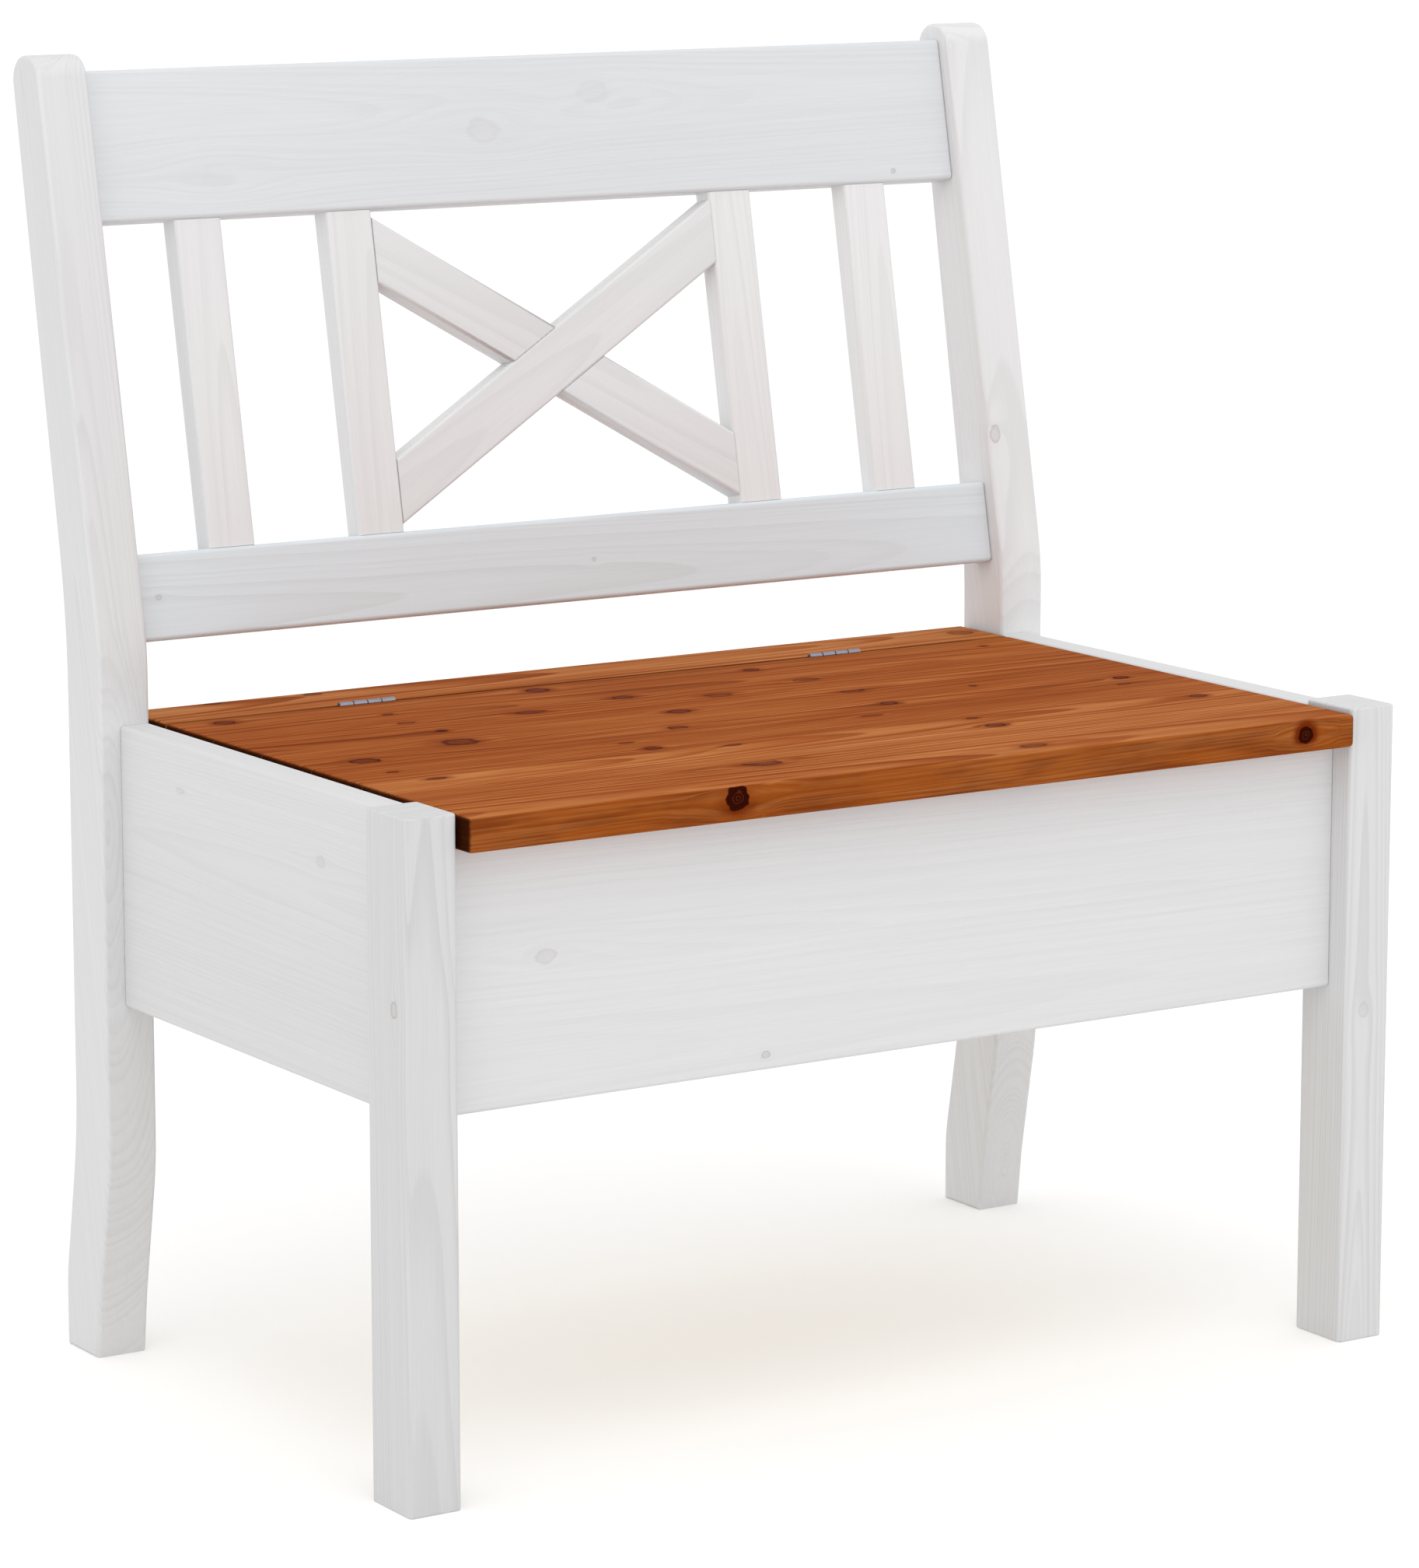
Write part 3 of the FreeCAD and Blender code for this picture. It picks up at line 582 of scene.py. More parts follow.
def leaned_box(node):
    """A node's lowest and highest corners as they would be if the back rest stood upright."""
    places = [upright @ vert.co for vert in nodes[node].data.vertices]
    low = Vector(min(place[i] for place in places) for i in range(3))
    high = Vector(max(place[i] for place in places) for i in range(3))
    return low, high


print("the back rest leans", round(math.degrees(lean), 2), "degrees")

# %% [markdown]
# ## The rear posts
#
# A rear post is sawn from a wide plank along a double curve: the foot splays back, the middle is
# upright, and the top leans back and ends in a round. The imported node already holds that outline,
# so it is read from a merged copy of the node, as the chain of points where the eased edge starts,
# from the front corner of the foot round to the rear one. A face through them, extruded to the
# post's width, gets rounder edges than the node's bevel. The grain follows the long raked part, as
# a sawyer would lay it for strength, so it runs out at the splayed foot.

# %% Read the posts' outline and make them
post_edge = 0.003
rim_turns_by = math.radians(20)


def side_outline(node, outer_x):
    """A post's side view as points in order, read where its eased outer edge starts."""
    bm = merged_copy(node)
    rim_x = max(abs(vert.co.x) for vert in bm.verts if abs(vert.co.x) < abs(outer_x) - same_place)

    def on_rim(vert):
        return abs(abs(vert.co.x) - rim_x) < 2 * same_place

    rim = [edge for edge in bm.edges if all(on_rim(vert) for vert in edge.verts)]
    rim = {edge for edge in rim if edge.calc_face_angle() > rim_turns_by}
    corners = [vert for edge in rim for vert in edge.verts]
    ends = [vert for vert in corners if sum(other in rim for other in vert.link_edges) == 1]
    here = min(ends, key=lambda vert: vert.co.y)
    chain = [here]
    while True:
        onward = [edge for edge in here.link_edges if edge in rim]
        if not onward:
            break
        rim.discard(onward[0])
        here = onward[0].other_vert(here)
        chain.append(here)
    points = [(vert.co.y, vert.co.z) for vert in chain]
    bm.free()
    return points


def make_rear_post(side):
    name = "rear_post_" + side
    low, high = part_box(name)
    outline = side_outline(name, low.x if side == "left" else high.x)
    bm = drawn_out([(low.x, y, z) for y, z in outline], (high.x - low.x, 0, 0))
    round_edges(bm, post_edge, lies_on(0, low.x, high.x))
    return white_board(bm, name, trunk_places(name, 1, -rearwards, upwards, low, high))


rear_posts = [make_rear_post(side) for side in ("left", "right")]
print("rear posts", [len(post.data.polygons) for post in rear_posts], "faces")

# %% [markdown]
# ## The panels of the box
#
# The four panels are wide boards glued up from staves. Their long edges are rounded; their ends
# butt against the legs, with tongues that nobody sees, and are eased a little, which leaves a thin
# dark line at each leg. Each panel is cut along its glue lines, so that every stave can have a
# grain of its own.

# %% Make the four panels
panel_edge = 0.003
panel_end_edge = 0.0013


def cut_into_staves(bm, grain):
    """Scores a board along its glue lines, which changes its faces but not its shape."""
    start, end = grain["spans"]
    count = len(grain["staves"])
    for index in range(1, count):
        place = grain["across"] * (start + (end - start) * index / count)
        every = bm.verts[:] + bm.edges[:] + bm.faces[:]
        bmesh.ops.bisect_plane(bm, geom=every, plane_co=place, plane_no=grain["across"])


def make_panel(name, axis, low, high, face_up, staves):
    """A panel whose long edges run along an axis, glued up from some staves."""
    bm = box_mesh(low, high)
    number = "XYZ".index(axis)
    round_edges(bm, panel_edge, runs_along(AXES[axis]))
    round_edges(bm, panel_end_edge, lies_on(number, low[number], high[number]), 2)
    grain = trunk_places(name, staves, face_up, AXES[axis], low, high)
    cut_into_staves(bm, grain)
    return white_board(bm, name, grain)


leg_low, leg_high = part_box("front_leg_right")
side_low, side_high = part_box("side_panel_right")
half_bay = leg_low.x
panels = []
for sign, side in ((-1, "left"), (1, "right")):
    reach = sorted((sign * side_low.x, sign * side_high.x))
    low = (reach[0], leg_high.y, side_low.z)
    high = (reach[1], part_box("rear_post_right")[0].y, side_high.z)
    panels.append(make_panel("side_panel_" + side, "Y", low, high, Vector((sign, 0, 0)), 2))
for name, face_up, top in (
    ("front_panel", FRONT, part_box("front_panel")[1].z),
    ("rear_panel", -FRONT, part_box("lid")[0].z),
):
    low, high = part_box(name)
    low, high = (-half_bay, low.y, low.z), (half_bay, high.y, top)
    panels.append(make_panel(name, "X", low, high, face_up, 2))
print("panels", [panel.name for panel in panels])

# %% [markdown]
# ## The two rails
#
# The rails are boards between the posts. Their long edges are rounded well, and their ends are
# eased too, which leaves a thin dark line beside each post. Each rail is one board, so its knots
# and its figure run whole across it.

# %% Make the rails
rail_edge = 0.0035
rail_end_edge = 0.0022


def make_rail(name):
    low, high = leaned_box(name)
    low.x, high.x = -half_bay, half_bay
    bm = box_mesh(low, high)
    round_edges(bm, rail_edge, runs_along(AXES["X"]))
    round_edges(bm, rail_end_edge, lies_on(0, low.x, high.x), 3)
    bmesh.ops.transform(bm, matrix=lean_matrix, verts=bm.verts)
    low, high = lean_matrix @ low, lean_matrix @ high
    return white_board(bm, name, trunk_places(name, 1, -rearwards, AXES["X"], low, high))


rails = [make_rail("top_rail"), make_rail("lower_back_rail")]
print("rails", [len(rail.data.polygons) for rail in rails], "faces")

# %% [markdown]
# ## The four slats
#
# Four equal slats join the rails, two at each side. What repeats is made by Geometry Nodes: a
# rounded rectangle is swept up a line into one slat, the slat is set on two points and on their
# mirror places, and the whole row is leaned back. Each slat takes a random place in a trunk, with
# a fixed seed, and writes grain and stave as the boards do.


# %% Helpers for Geometry Nodes
def new_tree(name, inputs):
    """A geometry tree with named inputs and one geometry output, and its two end nodes."""
    return new_group(name, inputs, [("Geometry", "Geometry")], "GeometryNodeTree")


def stored(tree, geometry, name, value, domain="POINT"):
    """Geometry with a vector attribute written on it."""
    kind = "GeometryNodeStoreNamedAttribute"
    inputs = {"Geometry": geometry, "Name": name, "Value": value}
    return add_node(tree, kind, inputs, data_type="FLOAT_VECTOR", domain=domain).outputs[0]


def attribute_of(tree, name):
    """A vector attribute, read by its name."""
    kind = "GeometryNodeInputNamedAttribute"
    return add_node(tree, kind, {"Name": name}, data_type="FLOAT_VECTOR").outputs[0]


def joined(tree, *parts):
    """Several geometries as one."""
    node = tree.nodes.new("GeometryNodeJoinGeometry")
    for part in parts:
        tree.links.new(part, node.inputs[0])
    return node.outputs[0]


def copies_on(tree, points, pattern, **more):
    """A copy of an object, or of some geometry, on every point."""
    if pattern.type == "OBJECT":
        inputs = {"Object": pattern, "As Instance": True}
        pattern = add_node(tree, "GeometryNodeObjectInfo", inputs).outputs["Geometry"]
    inputs = {"Points": points, "Instance": pattern, **more}
    return add_node(tree, "GeometryNodeInstanceOnPoints", inputs).outputs[0]


def made_real(tree, geometry):
    """Copies turned into plain mesh."""
    return add_node(tree, "GeometryNodeRealizeInstances", {"Geometry": geometry}).outputs[0]


def hand_out(tree, geometry, finish, result):
    """Ends a tree: turns copies into plain mesh, gives it its finish and passes it on."""
    inputs = {"Geometry": made_real(tree, geometry), "Material": finish}
    coat = add_node(tree, "GeometryNodeSetMaterial", inputs)
    tree.links.new(coat.outputs[0], result.inputs["Geometry"])


def grown_by_nodes(name, tree, start_mesh=None, **sizes):
    """Runs a tree on a mesh or an empty one, with the given input values, and keeps the result."""
    piece = bpy.data.objects.new(name, start_mesh or bpy.data.meshes.new(name))
    bpy.context.scene.collection.objects.link(piece)
    grow = piece.modifiers.new("grow", "NODES")
    grow.node_group = tree
    asked_for = [item for item in tree.interface.items_tree if item.in_out == "INPUT"]
    identifiers = {item.name: item.identifier for item in asked_for}
    for label, value in sizes.items():
        grow[identifiers[label.replace("_", " ")]] = value
    return bake_modifiers(piece)


print("geometry helpers ready")

# %% Build the tree of the slats
slat_tree, given, result = new_tree(
    "slat_row",
    [
        ("Inner Centre", "Float", 0.167),
        ("Outer Centre", "Float", 0.292),
        ("Front", "Float", 0.0),
        ("Back", "Float", 0.02),
        ("Bottom", "Float", 0.0),
        ("Top", "Float", 0.24),
        ("Width", "Float", 0.038),
        ("Edge Radius", "Float", 0.0025),
        ("Lean", "Float", 0.0),
        ("Seed", "Int", 0),
        ("Finish", "Material", None),
    ],
)
size = given.outputs
corner_steps = 5
slats_a_side = 2
trunk_least, trunk_most = (-9.0, -0.02, 0.03), (9.0, 0.02, 0.07)
# Slat tones are raised above one half, which paints light on the slats, with a random spread.
tone_scatter, palest_share, least_tone_with_painted_light = 7.0, 0.2, 0.58


def slat_math(operation, *values):
    return math_of(slat_tree, operation, *values)


outline = add_node(slat_tree, "GeometryNodeCurvePrimitiveQuadrilateral", {
    "Width": size["Width"], "Height": slat_math("SUBTRACT", size["Back"], size["Front"]),
})
fillet = add_node(slat_tree, "GeometryNodeFilletCurve", {
    "Curve": outline.outputs[0], "Radius": size["Edge Radius"], "Limit Radius": True,
    "Count": corner_steps,
}, mode="POLY")
middle_n = slat_math("MULTIPLY", slat_math("ADD", size["Back"], size["Front"]), 0.5)
line = add_node(slat_tree, "GeometryNodeCurvePrimitiveLine", {
    "Start": vector_from(slat_tree, 0.0, middle_n, size["Bottom"]),
    "End": vector_from(slat_tree, 0.0, middle_n, size["Top"]),
})
sweep = add_node(slat_tree, "GeometryNodeCurveToMesh", {
    "Curve": line.outputs[0], "Profile Curve": fillet.outputs[0], "Fill Caps": True,
})
position = slat_tree.nodes.new("GeometryNodeInputPosition").outputs[0]
one_slat = stored(slat_tree, sweep.outputs[0], "own_place", position)
pitch = slat_math("SUBTRACT", size["Outer Centre"], size["Inner Centre"])
rows = []
for sign in (-1.0, 1.0):
    row = add_node(slat_tree, "GeometryNodeMeshLine", {
        "Count": slats_a_side,
        "Start Location": vector_from(slat_tree, slat_math("MULTIPLY", size["Inner Centre"], sign)),
        "Offset": vector_from(slat_tree, slat_math("MULTIPLY", pitch, sign)),
    })
    rows.append(row.outputs[0])
four_slats = copies_on(slat_tree, joined(slat_tree, *rows), one_slat)
chance = add_node(slat_tree, "FunctionNodeRandomValue", {
    0: trunk_least, 1: trunk_most, "Seed": size["Seed"],
}, data_type="FLOAT_VECTOR")
four_slats = stored(slat_tree, four_slats, "trunk", chance.outputs[0], "INSTANCE")
four_slats = made_real(slat_tree, four_slats)
own = parts_of(slat_tree, attribute_of(slat_tree, "own_place"))
own_turned = vector_from(slat_tree, own[2], own[0], slat_math("SUBTRACT", own[1], middle_n))
trunk_place = attribute_of(slat_tree, "trunk")
grain_place = vector_of(slat_tree, "ADD", own_turned, trunk_place)
four_slats = stored(slat_tree, four_slats, "grain", grain_place)
# Painted light: each slat's tone, a random share above the raised least tone.
slat_tone_with_painted_light = slat_math("MULTIPLY", parts_of(slat_tree, trunk_place)[0], tone_scatter)
slat_tone_with_painted_light = slat_math("MULTIPLY_ADD", slat_math("FRACT", slat_tone_with_painted_light), palest_share, least_tone_with_painted_light)
four_slats = stored(slat_tree, four_slats, "stave", vector_from(slat_tree, 0.0, slat_tone_with_painted_light, 0.0))
turn = vector_from(slat_tree, slat_math("MULTIPLY", size["Lean"], -1.0))
leaned = add_node(slat_tree, "GeometryNodeTransform", {"Geometry": four_slats, "Rotation": turn})
hand_out(slat_tree, leaned.outputs[0], size["Finish"], result)
print("slat tree has", len(slat_tree.nodes), "nodes")

# %% Grow the slats
slat_edge = 0.0025
slat_seed = 5
slat_names = ["outer_slat_left", "inner_slat_left", "inner_slat_right", "outer_slat_right"]
slat_low, slat_high = leaned_box("inner_slat_right")
outer_low, outer_high = leaned_box("outer_slat_right")
slats = grown_by_nodes(
    "slats_pine", slat_tree,
    Inner_Centre=(slat_low.x + slat_high.x) / 2,
    Outer_Centre=(outer_low.x + outer_high.x) / 2,
    Front=slat_low.y,
    Back=slat_high.y,
    Bottom=leaned_box("lower_back_rail")[1].z,
    Top=leaned_box("top_rail")[0].z,
    Width=slat_high.x - slat_low.x,
    Edge_Radius=slat_edge,
    Lean=lean,
    Seed=slat_seed,
    Finish=finishes["white_glazed_pine"],
)
smooth(slats.data)
dress(even_shading(slats), "white_glazed_pine", "frame", *slat_names)
print("slats", len(slats.data.polygons), "faces")

# %% [markdown]
# ## The crossed braces
#
# Two equal bars cross in the middle bay and are half-lapped, so that their faces are flush: the
# rising bar runs through in front, the falling one behind. Each bar is a leaning board whose ends
# are cut upright at the slats. The slope and the height of those ends depend on each other, so a
# short loop lets them settle. A Boolean takes half the thickness out of each bar where they cross,
# just wide enough for the other bar.

# %% Make the braces
brace_width = 0.042
brace_edge = 0.0025
lap_room = 0.0001
past_face = 0.01
rounds_to_settle = 40
brace_low, brace_high = leaned_box("cross_brace_rising")
half_span = slat_low.x
brace_centre = (brace_low.z + brace_high.z) / 2
slope = 0.0
for _ in range(rounds_to_settle):
    half_end = brace_width / (2 * math.cos(slope))
    slope = math.atan2((brace_high.z - brace_low.z) / 2 - half_end, half_span)


def brace_bar(sign):
    """A bar upright in the plane of the back rest. Sign 1 rises to the right."""
    climb = sign * half_span * math.tan(slope)
    corners = [
        (-half_span, -climb - half_end), (half_span, climb - half_end),
        (half_span, climb + half_end), (-half_span, -climb + half_end),
    ]
    outline = [(x, brace_low.y, brace_centre + s) for x, s in corners]
    bm = drawn_out(outline, (0, brace_high.y - brace_low.y, 0))
    along = Vector((math.cos(slope), 0, sign * math.sin(slope)))
    round_edges(bm, brace_edge, runs_along(along))
    return bm, along


def lap_cutter(sign, front_half):
    """What a half lap takes out of the bar with that sign: a block as wide as the other bar."""
    middle = (brace_low.y + brace_high.y) / 2
    low_y = brace_low.y - past_face if front_half else middle
    high_y = middle if front_half else brace_high.y + past_face
    half = brace_width / 2 + lap_room
    bm = box_mesh((-half_span, low_y, -half), (half_span, high_y, half))
    turn = Matrix.Rotation(sign * slope, 4, "Y")
    return new_piece(bm, "lap_cutter", place=Matrix.Translation((0, 0, brace_centre)) @ turn)


def cut_from(piece, cutter):
    """Takes one closed mesh out of another and leaves a plain mesh."""
    cut = piece.modifiers.new("cut", "BOOLEAN")
    cut.object = cutter
    cut.solver = "EXACT"
    bake_modifiers(piece)
    bpy.data.objects.remove(cutter)
    return piece


def make_brace(name, sign, front_half):
    bm, along = brace_bar(sign)
    bar = cut_from(new_piece(bm, name + "_pine"), lap_cutter(sign, front_half))
    bar.data.transform(lean_matrix)
    along = (lean_matrix.to_3x3() @ along).normalized()
    grain = trunk_places(name, 1, -rearwards, along, *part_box(name))
    write_grain(bar, grain)
    return dress(even_shading(bar), "white_glazed_pine", "frame", name)


braces = [make_brace("cross_brace_rising", 1, False), make_brace("cross_brace_falling", -1, True)]
brace_faces = [len(brace.data.polygons) for brace in braces]
print("braces slope", round(math.degrees(slope), 1), "degrees,", brace_faces, "faces")

# %% [markdown]
# ## The seat: lid and fixed board
#
# The lid is a wide board glued up from six staves. Their tones paint the light that falls on the
# seat, palest at the front, and the fixed board's tone paints it lighter too. The lid's edges are
# well rounded except along the hinge seam, where both boards are only eased and stand a little back
# from the pins. Both are cut away where the hinges lie. The rounding comes first, then the cuts,
# and then the staves get their grain. Along the seam edge is raised above one, which paints shade
# there.

# %% Make the lid and the fixed board
seat_edge = 0.0032
seam_edge = 0.0012
seam_relief = 0.0006
# Painted light: the lid's staves palest at the front and paler at the rear than in the middle, and
# the fixed board's tone above one, painting it lighter.
lid_tones_with_painted_light = (0.88, 0.72, 0.54, 0.54, 0.52, 0.70)
strip_tone_with_painted_light = (1.12,)
leaf_room, room_above_pin, cove_radius, end_room = 0.00155, 0.004, 0.0028, 1e-4
# Painted shade in the seam: how far from it it reaches, how dark it is, and how much darker between
# the hinges.
seam_shade_reach, nearly_level = 1.2, 0.99
seam_shade, seam_shade_middle, middle_reach = 1.4, 0.6, 0.26


def pin_axis(hand):
    """Where a hinge's axis lies: y and z."""
    low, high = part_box("hinge_pin_" + hand)
    return (low.y + high.y) / 2, (low.z + high.z) / 2


def hinge_rooms():
    """Closed meshes of the room that the leaves and knuckles of both hinges take."""
    rooms = []
    for hand in ("left", "right"):
        low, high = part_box("hinge_fixed_leaf_" + hand)
        y, z = pin_axis(hand)
        room = box_mesh(
            (low.x - end_room, y - leaf_room, low.z - end_room),
            (high.x + end_room, y + leaf_room, z + room_above_pin),
        )
        rooms.append(new_piece(room, "leaf_room"))
        cove = bmesh.new()
        bmesh.ops.create_cone(
            cove, cap_ends=True, segments=40, radius1=cove_radius, radius2=cove_radius,
            depth=high.x - low.x + 2 * end_room,
        )
        place = Matrix.Translation(((low.x + high.x) / 2, y, z))
        place = place @ Matrix.Rotation(math.pi / 2, 4, "Y")
        rooms.append(new_piece(cove, "cove_room", place=place))
    return rooms


def paint_seam_shade(board, seam_y):
    """Raises edge above 1 along the seam, most between the hinges, which paints shade in the seam.
    """
    mesh = board.data
    edge = mesh.attributes["edge"].data
    for face in mesh.polygons:
        by_seam = abs(face.center.y - seam_y) < seam_shade_reach * seam_edge
        if by_seam and face.normal.z < nearly_level:
            for index in face.loop_indices:
                x = mesh.vertices[mesh.loops[index].vertex_index].co.x
                towards_middle = max(0.0, 1 - abs(x) / middle_reach)
                edge[index].value = seam_shade + seam_shade_middle * towards_middle


def make_seat_board(name, seam_side, tones, body):
    """A board whose seam is its rear (side 1) or front (side -1), a little back from the pins."""
    low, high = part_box(name)
    seam = high if seam_side > 0 else low
    seam.y -= seam_side * seam_relief
    bm = box_mesh(low, high)
    on_seam = lies_on(1, seam.y)
    round_edges(bm, seat_edge, lambda edge: not on_seam(edge), 5)
    round_edges(bm, seam_edge, on_seam, 3)
    grain = trunk_places(name, len(tones), AXES["Z"], AXES["X"], low, high)
    grain["tones"] = tones
    cut_into_staves(bm, grain)
    board = new_piece(bm, name + "_pine")
    for room in hinge_rooms():
        cut_from(board, room)
    smooth(board.data)
    write_grain(board, grain)
    # Painted shade along the seam.
    paint_seam_shade(board, seam.y)
    return dress(even_shading(board), "stained_pine", body, name)


lid = make_seat_board("lid", 1, lid_tones_with_painted_light, "lid")
seat_strip = make_seat_board("hinge_board", -1, strip_tone_with_painted_light, "frame")
print("lid", len(lid.data.polygons), "faces, fixed board", len(seat_strip.data.polygons))

# %% [markdown]
# ## Where the screws go
#
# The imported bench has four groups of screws: for the cleats, for the battens, and for the fixed
# and the moving leaves of the hinges. Each screw is an island of its node, with a flat head at one
# end and a point at the other. Reading the islands gives the middle of each head and the direction
# in which the screw was driven.


# %% Read the screws' seats
def screw_seats(node):
    """The middle of each screw's head and the way it points, read from a copy of the node."""
    bm = merged_copy(node)
    waiting, seats = set(bm.verts), []
    while waiting:
        island, front = set(), [next(iter(waiting))]
        while front:
            vert = front.pop()
            if vert not in island:
                island.add(vert)
                front.extend(edge.other_vert(vert) for edge in vert.link_edges)
        waiting -= island
        places = sorted((vert.co for vert in island), key=tuple)
        spans = [max(p[i] for p in places) - min(p[i] for p in places) for i in range(3)]
        axis = spans.index(max(spans))
        low, high = min(p[axis] for p in places), max(p[axis] for p in places)
        at_low = [p for p in places if p[axis] < low + same_place]
        at_high = [p for p in places if p[axis] > high - same_place]
        head = at_low if len(at_low) > len(at_high) else at_high
        aim = Vector((0, 0, 0))
        aim[axis] = 1 if head is at_low else -1
        seats.append((sum(head, Vector()) / len(head), aim))
    bm.free()
    return sorted(seats, key=lambda seat: tuple(round(c, 4) for c in seat[0]))


SCREW_NODES = (
    "floor_cleat_screws", "lid_batten_screws", "hinge_fixed_screws", "hinge_moving_screws",
)
seats_of = {name: screw_seats(name) for name in SCREW_NODES}
print("screws:", {name: len(seats) for name, seats in seats_of.items()})

# %% [markdown]
# ## Cleats and battens
#
# Four cleats inside the box carry its floor, and two battens keep the lid flat. They are plain
# bars with eased edges, drilled and countersunk. The drill is a turned shape: a row of radii and
# heights spun about an axis, which also makes the screws and the hinge pins.

# %% Make the cleats and battens
bar_edge = 0.0015
head_reach = 0.001
screw_room = [
    (0.0, -0.001), (0.0038, -0.001), (0.0038, 0.0), (0.0019, 0.0019), (0.0019, 0.0335),
    (0.0, 0.0338),
]


def turned(stations, segments):
    """A closed shape turned about Z from (radius, height) stations, the end ones on the axis."""
    bm = bmesh.new()
    rings = []
    for radius, height in stations:
        turns = range(segments) if radius > 0 else (0,)
        angles = [2 * math.pi * turn / segments for turn in turns]
        ring = [(radius * math.cos(angle), radius * math.sin(angle), height) for angle in angles]
        rings.append([bm.verts.new(point) for point in ring])
    for near, far in zip(rings, rings[1:]):
        for index in range(segments):
            corners = [near[index - 1], near[index]] if len(near) > 1 else [near[0]]
            corners += [far[index], far[index - 1]] if len(far) > 1 else [far[0]]
            bm.faces.new(corners)
    bmesh.ops.recalc_face_normals(bm, faces=bm.faces)
    return bm


def aimed(seat, aim):
    """The place of a turned shape that points along an aim."""
    return Matrix.Translation(seat) @ aim.to_track_quat("Z", "Y").to_matrix().to_4x4()


def make_bar(name, along, face_up, finish, body, group, eased):
    """A bar that is drilled for the screws of a group and eased at the edges that a test picks."""
    low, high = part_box(name)
    bm = box_mesh(low, high)
    round_edges(bm, bar_edge, eased, 3)
    bar = new_piece(bm, name + "_pine")
    for seat, aim in seats_of[group]:
        if all(low[i] - head_reach < seat[i] < high[i] + head_reach for i in range(3)):
            cut_from(bar, new_piece(turned(screw_room, 16), "drill", place=aimed(seat, aim)))
    smooth(bar.data)
    write_grain(bar, trunk_places(name, 1, face_up, along, low, high))
    return dress(even_shading(bar), finish, body, name)


bars = []
for side, axis in (("front", "X"), ("rear", "X"), ("left", "Y"), ("right", "Y")):
    along = AXES[axis]
    look = ("white_glazed_pine", "frame", "floor_cleat_screws")
    bars.append(make_bar("floor_cleat_" + side, along, AXES["Z"], *look, runs_along(along)))
for side in ("left", "right"):
    name = "lid_batten_" + side
    on_top = lies_on(2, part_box(name)[1].z)
    look = ("stained_pine", "lid", "lid_batten_screws")
    bars.append(make_bar(name, AXES["Y"], -AXES["Z"], *look, lambda edge: not on_top(edge)))
print("bars", [(bar.name, len(bar.data.polygons)) for bar in bars])

# %% [markdown]
# ## Screws
#
# Two screws, one for wood and one for the hinges, are turned and get a cross recess. Geometry Nodes
# then set a copy on every seat, aimed the way it was driven and turned by a random angle, because
# nobody lines up the slots by hand.
# The points carry their aim as an attribute. The seed is fixed, so each run gives the same turn.

# %% Build the screw and the tree that sets it
screw_turning = [
    (0.0, 0.0002), (0.0034, 0.0), (0.0036, 0.0002), (0.0018, 0.0020), (0.0018, 0.0290),
    (0.0, 0.0336),
]
hinge_screw_turning = [
    (0.0, 0.0001), (0.0018, 0.0), (0.0019, 0.0001), (0.0010, 0.0010), (0.0010, 0.0130),
    (0.0, 0.0158),
]
slot_length, slot_width, slot_depth, slot_taper = 0.55, 0.13, 0.42, 0.45
slot_above_head = 0.0005


def make_screw(name, stations):
    """A countersunk screw that points up Z, with a cross recess in its head."""
    screw = new_piece(turned(stations, 16), name)
    head = stations[1][0]
    for turn in (0.0, math.pi / 2):
        reach, half = head * slot_length, head * slot_width
        slot = box_mesh((-reach, -half, -slot_above_head), (reach, half, head * slot_depth))
        for vert in slot.verts:
            if vert.co.z > 0:
                vert.co.x *= slot_taper
        cut_from(screw, new_piece(slot, "recess", place=Matrix.Rotation(turn, 4, "Z")))
    return screw


screw_tree, given, result = new_tree(
    "screws_on_seats",
    [
        ("Geometry", "Geometry", None),
        ("Screw", "Object", None),
        ("Seed", "Int", 0),
        ("Finish", "Material", None),
    ],
)
asked = given.outputs
spin = add_node(screw_tree, "FunctionNodeRandomValue", {"Seed": asked["Seed"]}, data_type="FLOAT")
full_turn = math_of(screw_tree, "MULTIPLY", spin.outputs[1], 2 * math.pi)
turn = vector_from(screw_tree, 0.0, 0.0, full_turn)
spun = add_node(screw_tree, "FunctionNodeEulerToRotation", {0: turn})
align = add_node(screw_tree, "FunctionNodeAlignRotationToVector", {
    "Rotation": spun.outputs[0], "Vector": attribute_of(screw_tree, "aim"),
}, axis="Z")
screws = copies_on(screw_tree, asked["Geometry"], asked["Screw"], Rotation=align.outputs[0])
hand_out(screw_tree, screws, asked["Finish"], result)


def set_screws(name, pattern, seed, body):
    """All screws of one group as one plain mesh."""
    seats = seats_of[name]
    points = bpy.data.meshes.new(name)
    points.from_pydata([seat for seat, _ in seats], [], [])
    aims = [c for _, aim in seats for c in aim]
    points.attributes.new("aim", "FLOAT_VECTOR", "POINT").data.foreach_set("vector", aims)
    chosen = {"Screw": pattern, "Seed": seed, "Finish": finishes["zinc_steel"]}
    group = grown_by_nodes(name + "_zinc", screw_tree, points, **chosen)
    return dress(group, "zinc_steel", body, name)


wood_screw = make_screw("wood_screw", screw_turning)
hinge_screw = make_screw("hinge_screw", hinge_screw_turning)
patterns = (wood_screw, wood_screw, hinge_screw, hinge_screw)
for seed, (name, pattern) in enumerate(zip(SCREW_NODES, patterns), 1):
    group = set_screws(name, pattern, seed, "frame" if seed % 2 else "lid")
    print(group.name, len(group.data.polygons), "faces")

# %% [markdown]
# ## The two butt hinges
#
# A butt hinge is two plates whose edges are curled round a pin. Each plate here is a thin bar with
# two countersunk holes. Its knuckles repeat along the pin, two to a plate, so Geometry Nodes add
# them: the curled section is drawn once as an outline, drawn out to one knuckle's length, and set
# on every second place along the pin.

